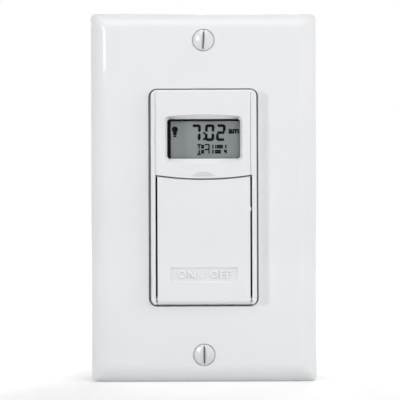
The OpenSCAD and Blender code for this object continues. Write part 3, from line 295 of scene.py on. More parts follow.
class HousingSizes(bpy.types.PropertyGroup):
    """Sizes of the steel strap and of the rear housing"""

    strap_round: size("Strap corner", "Corner radius of the strap", 2)
    strap_edge: size("Strap edge", "Rounding of the strap's stamped edges", 0.15)
    strap_gap: size("Strap gap", "Clearance between the strap and the bezel", 0.3)
    strap_thickness: size("Strap", "Thickness of the strap", 1.2)
    slot_length: size("Slot", "Length of the slots for the box screws", 6)
    tab_width: size("Tab", "Width of the bent ground tab", 8.5)
    tab_place: size("Tab place", "Distance of the ground tab from the middle", 15.75)
    tab_height: size("Tab height", "Height of the ground tab", -38.6)
    tab_round: size("Tab corner", "Corner radius of the ground tab", 1.5)
    tab_bend: size("Tab bend", "Radius inside the bend of the ground tab", 0.8)
    case_across: size("Case screws across", "Distance of the case screws from the middle, sideways", 19.3)
    case_along: size("Case screws along", "Distance of the case screws from the middle, upwards", 28)
    case_thread: size("Case thread", "Radius of the case screws", 1.5)
    wall: size("Wall", "Wall of the rear housing", 1.8)
    corner_round: size("Corner", "Corner radius of the rear housing", 2)
    edge_round: size("Edge", "Rounding of the back edges", 0.9)
    label_width: size("Label width", "Width of the bare label place", 20)
    label_height: size("Label height", "Height of the bare label place", 34)
    label_depth: size("Label depth", "Depth of the bare label place", 0.3)
    label_round: size("Label corner", "Corner radius of the bare label place", 1.5)
    column: size("Column", "Radius of the columns for the case screws", 2.45)
    column_gap: size("Column gap", "Clearance of the case screws in the columns", 0.05)
    column_end: size("Column hole", "Distance of the ends of the columns' holes behind the wall", 9.7)
    post: size("Post", "Radius of the posts for the power board", 2.1)
    wire_hole: size("Wire hole", "Radius of the wire entries", 1.5)
    wire_flare: size("Wire flare", "Width of the lead-in of the wire entries", 0.5)
    wire_across: size("Wire across", "Distance of the wire entries from the middle", 17.45)
    wire_offset: size("Wire offset", "Height of a wire entry above its terminal screw", 3.4)
    terminal_along: size("Terminals along", "Height of the terminal screws from the middle", 12)
    terminal_depth: size("Terminal depth", "Distance of the terminal screws behind the wall", 15.5)
    terminal_end: size("Terminal end", "Distance of the terminal screws' ends from the middle", 14.6)
    gauge_length: size("Gauge", "Length of the strip gauge groove on the back", 9)
    gauge_width: size("Gauge width", "Width of the strip gauge groove", 1.5)
    gauge_side: size("Gauge side", "Distance of the groove from the housing's side", 5)
    gauge_foot: size("Gauge foot", "Distance of the groove from the housing's foot", 5.5)


class FinishColours(bpy.types.PropertyGroup):
    """Colours of the switch's finishes"""

    white: tint("White", "Moulded white plastic", (0.80, 0.81, 0.82))
    enamel: tint("Enamel", "White enamel on the plate screws", (0.66, 0.69, 0.71))
    # Steel colour in the plate screws' slots, made dark to paint the shade in the slots
    slot: tint("Slot", "Worn steel in the slots of the plate screws", (0.2, 0.21, 0.215))
    zinc: tint("Zinc", "Zinc plated steel", (0.62, 0.63, 0.65))
    ground: tint("Ground green", "Dyed zinc of the ground screw", (0.05, 0.35, 0.16))
    lens: tint("Lens", "Faint smoke in the clear moulded lens", (0.03, 0.032, 0.032))
    display: tint("Display", "Grey of the display", (0.33, 0.357, 0.36))
    segment: tint("Segment", "Dark segments of the display", (0.004, 0.005, 0.0055))
    black: tint("Black", "Black plastic", (0.006, 0.006, 0.0065))
    rubber: tint("Rubber", "Black rubber", (0.03, 0.03, 0.03))
    # Painted shade: the dark film stands for the shade behind the gaps beside the door
    film: tint("Film", "Dark film round the keys", (0.018, 0.018, 0.02))
    grey: tint("Grey", "Grey plastic of the keys", (0.55, 0.56, 0.57))
    red: tint("Red", "Red plastic of the reset key", (0.45, 0.05, 0.04))
    board: tint("Board", "Solder mask of the circuit boards", (0.03, 0.18, 0.07))
    brass: tint("Brass", "Bright brass", (0.72, 0.54, 0.22))
    copper: tint("Copper", "Enamelled copper", (0.66, 0.34, 0.18))
    yellow: tint("Yellow", "Yellow case of the film capacitor", (0.75, 0.55, 0.08))
    blue: tint("Blue", "Blue sleeves and coatings", (0.04, 0.09, 0.32))
    tan: tint("Tan", "Coated ceramic", (0.6, 0.47, 0.32))
    dark: tint("Dark", "Dark plastic of the rear housing", (0.045, 0.046, 0.05))


class StageSettings(bpy.types.PropertyGroup):
    """Camera, lamps and floor"""

    camera_place: bpy.props.FloatVectorProperty(
        name="Camera", description="Place of the camera", default=(-0.00117, -0.36, -0.00077), unit="LENGTH"
    )
    lens: amount("Lens", "Focal length on a sensor 36 mm wide", 103.72)
    roll: bpy.props.FloatProperty(
        name="Roll", description="Roll of the camera", default=math.radians(0.2), subtype="ANGLE"
    )
    bright_side: bpy.props.FloatVectorProperty(
        name="Bright side", description="Direction that most of the even light comes from", default=(0, -1, 0)
    )
    ambient: amount("Ambient", "Even light from the front", 0.145)
    ambient_rear: amount("Rear ambient", "Even light from behind", 0.05)
    low_left: amount("Low left", "Power of the low lamp that throws the module's shadow", 1.95)
    softbox: amount("Softbox", "Power of the small softbox that shines in the plate's edge", 0.8)
    right: amount("Right", "Power of the broad lamp at the right", 2.35)
    far_right: amount("Far right", "Power of the lamp beside the plate", 2.1)
    top: amount("Top", "Power of the lamp above", 0.6)
    upper: amount("Upper", "Power of the lamp above and before the switch", 1.5)
    rear: amount("Rear", "Power of the lamp behind", 1.8)
    floor_near: amount("Floor light", "Share of the floor's white that shadows can't darken", 0.345)
    floor_middle: amount("Middle floor light", "The same share beside the switch", 0.63)
    floor_back: amount("Back floor light", "The same share behind the switch", 0.75)
    floor_far: amount("Far floor light", "The same share away from the switch", 0.95)


SETTINGS = {
    "plate_sizes": PlateSizes,
    "screw_sizes": ScrewSizes,
    "bezel_sizes": BezelSizes,
    "door_sizes": DoorSizes,
    "key_sizes": KeySizes,
    "display_sizes": DisplaySizes,
    "housing_sizes": HousingSizes,
    "finish_colours": FinishColours,
    "stage_settings": StageSettings,
}


def select_only(*pieces):
    """Leave edit mode and select these pieces alone; the first is the active one."""
    if bpy.context.mode != "OBJECT":
        bpy.ops.object.mode_set(mode="OBJECT")
    bpy.ops.object.select_all(action="DESELECT")
    for piece in pieces:
        piece.select_set(True)
    if pieces:
        bpy.context.view_layer.objects.active = pieces[0]


def settled(name):
    """Name the shape that was just added, and put its place into its mesh."""
    piece = bpy.context.object
    piece.name = name
    bpy.ops.object.transform_apply(location=True, rotation=True, scale=True)
    return piece


def moved(piece, place, turn=(0, 0, 0)):
    """Turn a piece about the origin and move it, with its place in its mesh."""
    select_only(piece)
    piece.rotation_euler = turn
    piece.location = place
    bpy.ops.object.transform_apply(location=True, rotation=True, scale=True)
    return piece


def copied(piece, name, place=(0, 0, 0), turn=(0, 0, 0)):
    """A copy with its own mesh."""
    select_only(piece)
    bpy.ops.object.duplicate(linked=False)
    twin = bpy.context.object
    twin.name = name
    return moved(twin, place, turn)


def joined(name, pieces):
    """Several shapes as one piece."""
    select_only(*pieces)
    if len(pieces) > 1:
        bpy.ops.object.join()
    pieces[0].name = name
    return pieces[0]


def centre_of(node):
    """Middle of the box of a frame node."""
    low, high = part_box(node)
    return (low + high) / 2


def four_places(across, along):
    """Places on the wall at both sides of the middle, below and above it."""
    return [(x, 0, z) for x in (-across, across) for z in (-along, along)]


@contextlib.contextmanager
def editing(piece, kind="FACE"):
    """Edit mode on one piece, with nothing selected."""
    select_only(piece)
    bpy.ops.object.mode_set(mode="EDIT")
    bpy.ops.mesh.select_mode(type=kind)
    bpy.ops.mesh.select_all(action="DESELECT")
    yield
    bpy.ops.object.mode_set(mode="OBJECT")


def pick(piece, kind, test):
    """Select the faces or edges that pass a test, in edit mode."""
    bpy.ops.mesh.select_all(action="DESELECT")
    shape = bmesh.from_edit_mesh(piece.data)
    shape.normal_update()
    parts = shape.faces if kind == "FACE" else shape.edges
    chosen = [part for part in parts if test(part)]
    if not chosen:
        raise RuntimeError(f"{piece.name}: no {kind.lower()} to work on")
    for part in chosen:
        part.select_set(True)
    bmesh.update_edit_mesh(piece.data)


def middle(edge):
    """Middle point of an edge."""
    return (edge.verts[0].co + edge.verts[1].co) / 2


def runs(edge, axis):
    """Whether an edge runs along an axis."""
    line = edge.verts[1].co - edge.verts[0].co
    return abs(line["XYZ".index(axis)]) > ALONG * line.length


def at(edge, depth):
    """Whether a whole edge lies at one depth."""
    return all(abs(v.co.y - depth) < NEAR for v in edge.verts)


def round_edges(piece, width, steps, test):
    """Round the sharp edges that pass a test."""
    with editing(piece, "EDGE"):
        pick(
            piece,
            "EDGE",
            lambda e: e.is_manifold and e.calc_face_angle() > SHARP and test(e),
        )
        bpy.ops.mesh.bevel(
            offset=width, offset_type="OFFSET", segments=steps, affect="EDGES", clamp_overlap=True
        )


def round_rim(piece, width, steps, depth):
    """Round the sharp edges that lie at one depth."""
    round_edges(piece, width, steps, lambda e: at(e, depth))


def block(name, low, high):
    """Box between two corners."""
    select_only()
    low, high = Vector(low), Vector(high)
    bpy.ops.mesh.primitive_cube_add(size=1, location=(low + high) / 2)
    bpy.context.object.scale = high - low
    return settled(name)


def rounded_block(name, low, high, radius, steps=8):
    """Box whose four edges along y are round."""
    piece = block(name, low, high)
    round_edges(piece, radius, steps, lambda e: runs(e, "Y"))
    return piece


def upright_slab(name, half_w, half_h, y0, y1, radius=0, centre=(0, 0)):
    """Upright slab between two depths, with round corners where a radius is given."""
    x, z = centre
    low, high = (x - half_w, y0, z - half_h), (x + half_w, y1, z + half_h)
    return rounded_block(name, low, high, radius) if radius else block(name, low, high)


def rod(name, axis, radius, start, end, place=(0, 0, 0), sides=48):
    """Round bar along an axis; place gives its other two coordinates."""
    select_only()
    centre = Vector(place)
    centre["XYZ".index(axis)] = (start + end) / 2
    bpy.ops.mesh.primitive_cylinder_add(
        vertices=sides, radius=radius, depth=end - start, location=centre, rotation=TURN[axis]
    )
    return settled(name)


def turned(name, profile, sides=64):
    """Round piece about the y axis, drawn ring by ring; profile holds (radius, depth) pairs."""
    select_only()
    radius, depth = profile[0]
    bpy.ops.mesh.primitive_circle_add(
        vertices=sides, radius=radius, fill_type="NGON", location=(0, depth, 0), rotation=TURN["Y"]
    )
    piece = settled(name)
    with editing(piece):
        bpy.ops.mesh.select_all(action="SELECT")
        for (r0, y0), (r1, y1) in zip(profile, profile[1:]):
            bpy.ops.mesh.extrude_region_move(TRANSFORM_OT_translate={"value": (0, y1 - y0, 0)})
            bpy.ops.transform.resize(value=(r1 / r0, 1, r1 / r0), center_override=(0, y1, 0))
        bpy.ops.mesh.select_all(action="SELECT")
        bpy.ops.mesh.normals_make_consistent(inside=False)
    return piece


def combine(piece, other, operation):
    """Cut another shape out of a piece, or fuse it to the piece."""
    select_only(piece)
    modifier = piece.modifiers.new(operation.lower(), "BOOLEAN")
    modifier.operation = operation
    modifier.solver = "EXACT"
    modifier.object = other
    bpy.ops.object.modifier_apply(modifier=modifier.name)
    bpy.data.objects.remove(other)
    if not piece.data.polygons:
        raise RuntimeError(f"{piece.name}: nothing is left")
    return piece


def cut(piece, *tools):
    """Cut shapes out of a piece."""
    for tool in tools:
        combine(piece, tool, "DIFFERENCE")
    return piece


def fuse(piece, *others):
    """Fuse shapes to a piece."""
    for other in others:
        combine(piece, other, "UNION")
    return piece


def lettering(name, words, height, depth, place, weight=0.0, spread=1.0, slope=0.0):
    """Upright letters that face the viewer, centred on a place; their edges may slope."""
    select_only()
    bpy.ops.object.text_add()
    text = bpy.context.object
    text.data.body = words
    text.data.align_x = "CENTER"
    text.data.align_y = "CENTER"
    text.data.size = height
    text.data.extrude = depth / 2 - slope
    text.data.bevel_depth = slope
    text.data.bevel_resolution = 0
    text.data.offset = weight
    text.data.space_character = spread
    text.data.resolution_u = 4
    bpy.ops.object.convert(target="MESH")
    piece = bpy.context.object
    with editing(piece):
        bpy.ops.mesh.select_all(action="SELECT")
        bpy.ops.mesh.remove_doubles(threshold=NEAR / 4)
        bpy.ops.mesh.normals_make_consistent(inside=False)
    moved(piece, place, UPRIGHT)
    piece.name = name
    return piece


def threaded(piece, radius, depth, pitch, start, end):
    """Wind a thread round the y axis and fuse it to a piece."""
    turns = int((end - start) / pitch)
    sunk_root = radius - depth - depth / 2
    # A little less than the pitch, so that two turns don't touch
    width = pitch * 0.92
    corners = (
        (sunk_root, start, 0),
        (radius, start + pitch / 2, 0),
        (sunk_root, start + width, 0),
    )
    select_only()
    bpy.ops.mesh.primitive_circle_add(vertices=len(corners), radius=radius)
    thread = settled("thread")
    for vertex, corner in zip(thread.data.vertices, corners):
        vertex.co = corner
    winding = thread.modifiers.new("winding", "SCREW")
    winding.axis = "Y"
    winding.screw_offset = pitch
    winding.iterations = turns - 1
    winding.steps = THREAD_STEPS
    winding.render_steps = THREAD_STEPS
    bpy.ops.object.modifier_apply(modifier=winding.name)
    with editing(thread):
        bpy.ops.mesh.select_all(action="SELECT")
        bpy.ops.mesh.remove_doubles(threshold=NEAR / 4)
        bpy.ops.mesh.fill_holes(sides=len(corners))
        bpy.ops.mesh.select_all(action="SELECT")
        bpy.ops.mesh.normals_make_consistent(inside=False)
    return fuse(piece, thread)


def finished(piece, slot, body, *nodes, finish=None):
    """Smooth a piece, give it a finish if it has none yet, and set it on the body that it moves with."""
    select_only(piece)
    bpy.ops.object.shade_smooth_by_angle(angle=SMOOTH)
    normals = piece.modifiers.new("even normals", "WEIGHTED_NORMAL")
    normals.keep_sharp = True
    bpy.ops.object.modifier_apply(modifier=normals.name)
    if not any(piece.data.materials):
        piece.data.materials.clear()
        piece.data.materials.append(finish_of(finish or slot))
    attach(piece, body)
    if nodes:
        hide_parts(*nodes)
    return piece


class Finish:
    """A procedural material under construction, on the piece's own coordinates."""

    def __init__(self, name):
        self.material = bpy.data.materials.new(name)
        self.material.use_nodes = True
        self.tree = self.material.node_tree
        self.shader = self.tree.nodes["Principled BSDF"]
        self.place = self.tree.nodes.new("ShaderNodeTexCoord").outputs["Object"]

    def set(self, **values):
        """Set sockets of the shader to plain values; underscores stand for spaces."""
        for name, value in values.items():
            self.shader.inputs[name.replace("_", " ")].default_value = value
        return self

    def link(self, output, name):
        """Lead an output into a socket of the shader."""
        self.tree.links.new(output, self.shader.inputs[name])
        return self

    def stretched(self, scale):
        """Coordinates that are drawn out along an axis, as for brushed metal."""
        mapping = self.tree.nodes.new("ShaderNodeMapping")
        mapping.inputs["Scale"].default_value = scale
        self.tree.links.new(self.place, mapping.inputs["Vector"])
        return mapping.outputs["Vector"]

    def noise(self, scale, detail=3, place=None):
        """Soft noise; scale counts its grains in a metre."""
        node = self.tree.nodes.new("ShaderNodeTexNoise")
        node.inputs["Scale"].default_value = scale
        node.inputs["Detail"].default_value = detail
        self.tree.links.new(place or self.place, node.inputs["Vector"])
        return node.outputs["Fac"]

    def cells(self, scale):
        """Small cells, for spark texture and speckles."""
        node = self.tree.nodes.new("ShaderNodeTexVoronoi")
        node.inputs["Scale"].default_value = scale
        self.tree.links.new(self.place, node.inputs["Vector"])
        return node.outputs["Distance"]

    def bands(self, scale, direction):
        """Fine bands across an axis, for windings and traces."""
        node = self.tree.nodes.new("ShaderNodeTexWave")
        node.bands_direction = direction
        node.inputs["Scale"].default_value = scale
        self.tree.links.new(self.place, node.inputs["Vector"])
        return node.outputs["Fac"]

    def tones(self, factor, dark, light, low=0.35, high=0.65):
        """Base colour that goes from one tone to another."""
        ramp = self.tree.nodes.new("ShaderNodeValToRGB")
        for stop, position, colour in zip(ramp.color_ramp.elements, (low, high), (dark, light)):
            stop.position = position
            stop.color = (*colour, 1)
        self.tree.links.new(factor, ramp.inputs["Fac"])
        return self.link(ramp.outputs["Color"], "Base Color")

    def varied(self, factor, colour, spread):
        """Base colour that wanders a little round one tone."""
        dark = [c * (1 - spread) for c in colour]
        light = [min(1, c * (1 + spread)) for c in colour]
        return self.tones(factor, dark, light)

    def rough(self, factor, low, high):
        """Roughness that varies between two values."""
        span = self.tree.nodes.new("ShaderNodeMapRange")
        span.inputs["To Min"].default_value = low
        span.inputs["To Max"].default_value = high
        self.tree.links.new(factor, span.inputs["Value"])
        return self.link(span.outputs["Result"], "Roughness")

    def bump(self, factor, height):
        """Fine relief of a given height."""
        node = self.tree.nodes.new("ShaderNodeBump")
        node.inputs["Distance"].default_value = height
        self.tree.links.new(factor, node.inputs["Height"])
        return self.link(node.outputs["Normal"], "Normal")


def moulded(
    name, colour, roughness, spread=0.02, grain=1500, relief=0.004, coat=0.0, shine=0.5, gloss=1.5
):
    """Moulded plastic: a faint flow pattern, an even fine grain and, where asked, a clear coat."""
    finish = Finish(name)
    grains = finish.noise(grain, detail=2)
    finish.varied(finish.noise(70, detail=4), colour, spread)
    finish.rough(grains, roughness * 0.85, roughness * 1.15)
    finish.bump(grains, relief * MM)
    finish.set(Coat_Weight=coat, Coat_Roughness=0.02, Coat_IOR=gloss, Specular_IOR_Level=shine)
    return finish.material


def spark_textured(name, colour, roughness, grain=2600, relief=0.02, shine=0.25):
    """Dull plastic from a spark-eroded mould."""
    finish = Finish(name)
    pits = finish.cells(grain)
    finish.varied(finish.noise(90, detail=4), colour, spread=0.12)
    finish.rough(pits, roughness * 0.8, min(1, roughness * 1.2))
    finish.bump(pits, relief * MM)
    finish.set(Specular_IOR_Level=shine)
    return finish.material


def plated(name, colour, roughness, stretch=(1, 1, 12), spread=0.08):
    """Plated metal with fine drawn lines and cloudy patches."""
    finish = Finish(name)
    lines = finish.noise(900, detail=4, place=finish.stretched(stretch))
    finish.varied(finish.noise(160, detail=5), colour, spread)
    finish.rough(lines, roughness * 0.7, roughness * 1.3)
    finish.bump(lines, height=0.003 * MM)
    finish.set(Metallic=1.0)
    return finish.material


def printed_board(name, colour):
    """Green solder mask over traces that run side by side."""
    finish = Finish(name)
    traces = finish.bands(260, "X")
    dark, light = ([c * share for c in colour] for share in (0.75, 1.3))
    finish.tones(traces, dark, light, low=0.45, high=0.55)
    finish.rough(finish.noise(700), low=0.25, high=0.45)
    finish.bump(traces, height=0.02 * MM)
    return finish.material


def wound_wire(name, colour):
    """Enamelled wire, turn beside turn."""
    finish = Finish(name)
    turns = finish.bands(900, "Y")
    finish.tones(turns, [c * 0.5 for c in colour], colour, low=0.1, high=0.6)
    finish.rough(finish.noise(900), low=0.25, high=0.4)
    finish.bump(turns, height=0.05 * MM)
    finish.set(Metallic=0.9)
    return finish.material


def display_glass(name, colour):
    """Grey display under polished glass, with faint clouds."""
    finish = Finish(name)
    finish.varied(finish.noise(45, detail=2), colour, spread=0.06)
    finish.rough(finish.noise(1800), low=0.45, high=0.6)
    finish.set(Coat_Weight=0.05, Coat_Roughness=0.05, Specular_IOR_Level=0.2)
    return finish.material


def clear_window(name, colour):
    """Clear moulding that shows what lies behind it."""
    finish = Finish(name)
    finish.varied(finish.noise(120, detail=2), colour, spread=0.02)
    finish.rough(finish.noise(1200), low=0.03, high=0.08)
    finish.set(Alpha=0.06, IOR=1.49, Specular_IOR_Level=0.04)
    return finish.material


def make_finishes(colours):
    """Every finish, by the record's slot, and three for the segments, the film and the screw slots; the film
    and the slot finish are dark to paint shade.
    """
    return {
        "white_plastic": moulded(
            "white_plastic_finish", colours.white, 0.4, spread=0.008, coat=0.8, shine=0.2
        ),
        "painted_screw": moulded(
            "enamel_finish", colours.enamel, 0.3, spread=0.03, grain=2500, coat=1.0, gloss=1.8
        ),
        "zinc_steel": plated("zinc_finish", colours.zinc, 0.55),
        "green_screw": plated("green_zinc_finish", colours.ground, 0.36, stretch=(1, 12, 1), spread=0.15),
        "clear_lens": clear_window("clear_finish", colours.lens),
        "lcd_grey": display_glass("display_finish", colours.display),
        "black_plastic": spark_textured("black_plastic_finish", colours.black, 0.5, shine=0.06),
        "black_rubber": spark_textured("rubber_finish", colours.rubber, 0.75, grain=1800, relief=0.03),
        "grey_plastic": moulded("grey_plastic_finish", colours.grey, 0.4, grain=2200, relief=0.008),
        "red_plastic": moulded(
            "red_plastic_finish", colours.red, 0.4, spread=0.05, grain=2200, relief=0.008
        ),
        "board_green": printed_board("board_finish", colours.board),
        "brass": plated("brass_finish", colours.brass, 0.28, stretch=(12, 1, 1)),
        "copper_wire": wound_wire("copper_finish", colours.copper),
        "yellow_plastic": moulded("yellow_finish", colours.yellow, 0.35, spread=0.05),
        "blue_sleeve": moulded("blue_finish", colours.blue, 0.3, spread=0.1, coat=0.3),
        "tan_ceramic": spark_textured("ceramic_finish", colours.tan, 0.6, grain=1500),
        "dark_plastic": spark_textured("dark_plastic_finish", colours.dark, 0.55),
        "segment": moulded(
            "segment_finish", colours.segment, 0.5, spread=0.1, grain=2500, relief=0.002, shine=0.05
        ),
        # Near-black film that paints the shade seen through the door's gaps
        "film": spark_textured("film_finish", colours.film, 0.6, grain=3500, relief=0.01),
        # Painted shade in the bottom of the plate screws' slots
        "slot": spark_textured("slot_finish", colours.slot, 0.6, grain=3000, relief=0.01),
    }


# Name of each finish, by its slot, once it is mixed
FINISH_NAMES = {}


def finish_of(slot):
    """The finish that belongs to a slot."""
    return bpy.data.materials[FINISH_NAMES[slot]]


class FinishesOperator(bpy.types.Operator):
    """Mix the finishes, and give each frame node that stays the finish of its slot"""

    bl_idname = "timer_switch.finishes"
    bl_label = "Finishes"

    def execute(self, context):
        for slot, material in make_finishes(context.scene.finish_colours).items():
            FINISH_NAMES[slot] = material.name
        for part in frame["record"]["subparts"]:
            node = frame["nodes"][part["node"]]
            for material_slot in node.material_slots:
                material_slot.material = finish_of(part["material_slot"])
        return {"FINISHED"}


def roll_front(piece, corner, run, drop, steps=12):
    """Draw the front face forward ring by ring, along the arc of a rolled edge."""
    arc = (run * run + drop * drop) / (2 * drop)
    whole = math.asin(run / arc)
    angles = [whole * i / steps for i in range(steps, -1, -1)]
    rings = [(arc * math.sin(angle), arc * math.cos(angle)) for angle in angles]
    flat = (corner.x - run, corner.z - run)
    with editing(piece):
        pick(piece, "FACE", lambda f: f.normal.y < -FACING)
        for (out, lift), (next_out, next_lift) in zip(rings, rings[1:]):
            bpy.ops.mesh.extrude_region_move(
                TRANSFORM_OT_translate={"value": (0, lift - next_lift, 0)}
            )
            across, along = ((side + next_out) / (side + out) for side in flat)
            bpy.ops.transform.resize(value=(across, 1, along), center_override=(0, 0, 0))


def hollow_back(piece, corner, rim, depth):
    """Press the back face in, and leave a rim round it."""
    across, along = ((side - rim) / side for side in (corner.x, corner.z))
    with editing(piece):
        pick(piece, "FACE", lambda f: f.normal.y > FACING)
        bpy.ops.mesh.extrude_region_move(TRANSFORM_OT_translate={"value": (0, 0, 0)})
        bpy.ops.transform.resize(value=(across, 1, along), center_override=(0, 0, 0))
        bpy.ops.mesh.extrude_region_move(TRANSFORM_OT_translate={"value": (0, -depth, 0)})


# Places of the stiffening ribs, counted in pitches from the middle
RIB_PLACES = (-1.5, -0.5, 0.5, 1.5)


class WallPlateOperator(bpy.types.Operator):
    """Mould the wall plate with its rolled edge, ribs, opening and screw seats"""

    bl_idname = "timer_switch.wall_plate"
    bl_label = "Wall plate"

    def execute(self, context):
        sizes = context.scene.plate_sizes
        screws = context.scene.screw_sizes
        bezel = context.scene.bezel_sizes
        low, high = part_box("wall_plate")
        plate = rounded_block(
            "wall_plate_moulding",
            (low.x, low.y + sizes.roll_drop, low.z),
            high,
            sizes.corner_round,
        )
        roll_front(plate, high, sizes.roll_run, sizes.roll_drop)
        hollow_back(plate, high, sizes.rim, -low.y - sizes.wall)
        floor = low.y + sizes.wall
        half_w = (bezel.width + sizes.opening_left + sizes.opening_right) / 2
        half_h = bezel.height / 2 + sizes.opening_end_gap
        corner = bezel.corner_round + sizes.opening_right
        shift = (sizes.opening_right - sizes.opening_left) / 2
        opening = upright_slab("opening", half_w, half_h, low.y - CLEAR, CLEAR, corner, (shift, 0))
        cut(plate, opening)
        round_edges(
            plate,
            sizes.opening_round,
            3,
            lambda e: at(e, low.y)
            and abs(middle(e).x - shift) < half_w + NEAR
            and abs(middle(e).z) < half_h + NEAR,
        )
        self.stiffen(plate, sizes, floor, high)
        for place in (-screws.plate_place, screws.plate_place):
            boss = rod("boss", "Y", sizes.boss_radius, floor - SUNK, sizes.boss_back, (0, 0, place))
            cut(fuse(plate, boss), self.seat(screws, low.y, place))
            rim = screws.oval_radius + screws.seat_gap
            round_edges(
                plate,
                sizes.seat_round,
                2,
                lambda e: at(e, low.y) and (middle(e) - Vector((0, low.y, place))).length < rim + NEAR,
            )
        finished(plate, "white_plastic", "root", "wall_plate")
        return {"FINISHED"}

    def stiffen(self, plate, sizes, floor, high):
        """Ribs between the strap and the rim, in the hollow back."""
        for side in (-1, 1):
            ends = sorted((side * sizes.rib_start, side * (high.x - sizes.rim + SUNK)))
            for place in RIB_PLACES:
                foot = place * sizes.rib_pitch - sizes.rib_width / 2
                rib = block(
                    "rib",
                    (ends[0], floor - SUNK, foot),
                    (ends[1], floor + sizes.rib_depth, foot + sizes.rib_width),
                )
                fuse(plate, rib)

    def seat(self, screws, face, place):
        """Countersunk hole for a plate screw."""
        hole = screws.thread + screws.hole_gap
        rim = screws.oval_radius + screws.seat_gap
        inner = rim - (rim - hole) * screws.seat_groove / screws.oval_sink
        profile = [
            (rim, face - CLEAR),
            (rim, face + screws.seat_groove),
            (inner, face + screws.seat_groove + NEAR),
            (hole, face + screws.oval_sink),
            (hole, CLEAR),
        ]
        return moved(turned("seat", profile), (0, 0, place))


def tinted(piece, finish, other, test):
    """Give a piece a finish, and another one to the faces that pass a test."""
    piece.data.materials.clear()
    piece.data.materials.append(finish)
    piece.data.materials.append(other)
    with editing(piece):
        pick(piece, "FACE", test)
        piece.active_material_index = 1
        bpy.ops.object.material_slot_assign()
    return piece


def driver_slot(screws, radius, top):
    """Shape that cuts a driver slot, upright, into a head whose top is at a depth."""
    floor = top + screws.slot_depth
    return upright_slab("slot", screws.slot_width / 2, radius + CLEAR, top - CLEAR, floor)


class PlateScrewsOperator(bpy.types.Operator):
    """Turn the two oval-head plate screws"""

    bl_idname = "timer_switch.plate_screws"
    bl_label = "Plate screws"

    def execute(self, context):
        screws = context.scene.screw_sizes
        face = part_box("wall_plate")[0].y
        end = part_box("plate_screws")[1].y
        screw = self.model(screws, face, end)
        twin = copied(screw, "plate_screw_foot", (0, 0, -screws.plate_place))
        moved(screw, (0, 0, screws.plate_place), (0, screws.slot_lean, 0))
        for piece in (screw, twin):
            finished(piece, "painted_screw", "root", "plate_screws")
        return {"FINISHED"}

    def model(self, screws, face, end):
        """One screw on the y axis: domed head, countersunk neck, thread and slot."""
        rise, radius = screws.oval_rise, screws.oval_radius
        dome = (radius * radius + rise * rise) / (2 * rise)
        # The dome ends just inside the brim, and the brim has a low upright edge
        dome_end, edge = 0.985 * radius, 0.1 * MM
        steps = 10
        profile = []
        for i in range(1, steps + 1):
            r = dome_end * i / steps
            profile.append((r, face - rise + dome - math.sqrt(dome * dome - r * r)))
        root = screws.thread - screws.thread_depth
        neck = face + screws.oval_sink
        profile += [
            (radius, face + edge / 5),
            (radius, face + edge),
            (screws.thread, neck),
            (root, neck + screws.thread_depth),
            (root, end - screws.thread_depth),
            (TIP * root, end),
        ]
        screw = turned("plate_screw_top", profile)
        start = screws.plate_thread
        threaded(screw, screws.thread, screws.thread_depth, screws.pitch, start, end - screws.pitch)
        self.slot(screw, screws, face - rise)
        # The kerf's faces take the dark slot finish, which paints the shade in the slot
        side, floor = screws.kerf_width / 2, face - rise + self.kerf_depth(screws)
        return tinted(
            screw,
            finish_of("painted_screw"),
            finish_of("slot"),
            lambda f: all(abs(v.co.x) < side + NEAR and v.co.y < floor + NEAR for v in f.verts)
            and any(abs(v.co.y - floor) < NEAR for v in f.verts),
        )

    def kerf_depth(self, screws):
        """Depth of the kerf under the top of the head."""
        return screws.flare_depth + screws.kerf_width / 2

    def slot(self, screw, screws, top):
        """Driver slot with flared, painted flanks and a kerf in its bottom, whose faces take a dark steel
        colour as painted shade.
        """
        reach = screws.oval_radius + CLEAR
        floor = top + screws.flare_depth
        slope = (screws.flare_width - screws.kerf_width) / 2 / screws.flare_depth
        flare = upright_slab("flare", screws.kerf_width / 2, reach, floor - SUNK, floor)
        with editing(flare):
            pick(flare, "FACE", lambda f: f.normal.y < -FACING)
            rise = screws.flare_depth + CLEAR
            bpy.ops.mesh.extrude_region_move(TRANSFORM_OT_translate={"value": (0, SUNK - rise, 0)})
            wide = 1 + 2 * slope * rise / screws.kerf_width
            bpy.ops.transform.resize(value=(wide, 1, 1), center_override=(0, 0, 0))
        bottom = top + self.kerf_depth(screws)
        kerf = upright_slab(
            "kerf", screws.kerf_width / 2, screws.kerf_length / 2, top - CLEAR, bottom
        )
        cut(screw, flare, kerf)


def door_space(name, door, half_w, y0, y1, foot, gap):
    """Slab with the curved top edge of the door, grown by a gap at its top."""
    dip = door.top_dip
    arc = (door.half_width * door.half_width + dip * dip) / (2 * dip)
    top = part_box("door")[1].z - door.top_drop
    space = block(name, (-half_w, y0, foot), (half_w, y1, top + 2 * dip))
    rim = rod("arc", "Y", arc - gap, y0 - CLEAR, y1 + CLEAR, (0, 0, top - dip + arc), sides=720)
    return cut(space, rim)


def pressed_rod(name, door, radius, half_l):
    """Round bar on the hinge's line, drawn out along the way that the door presses in."""
    line = centre_of("hinge_pin")
    slot = rod(name, "X", radius, -half_l, half_l, line)
    travel = block(
        "travel",
        (-half_l, line.y, line.z - radius),
        (half_l, line.y + door.press, line.z + radius),
    )
    end = rod("end", "X", radius, -half_l, half_l, line + Vector((0, door.press, 0)))
    return fuse(slot, travel, end)


# Nodes of the rectangular keys
KEYS = ("on_off_key", "mode_key", "minus_key", "plus_key")


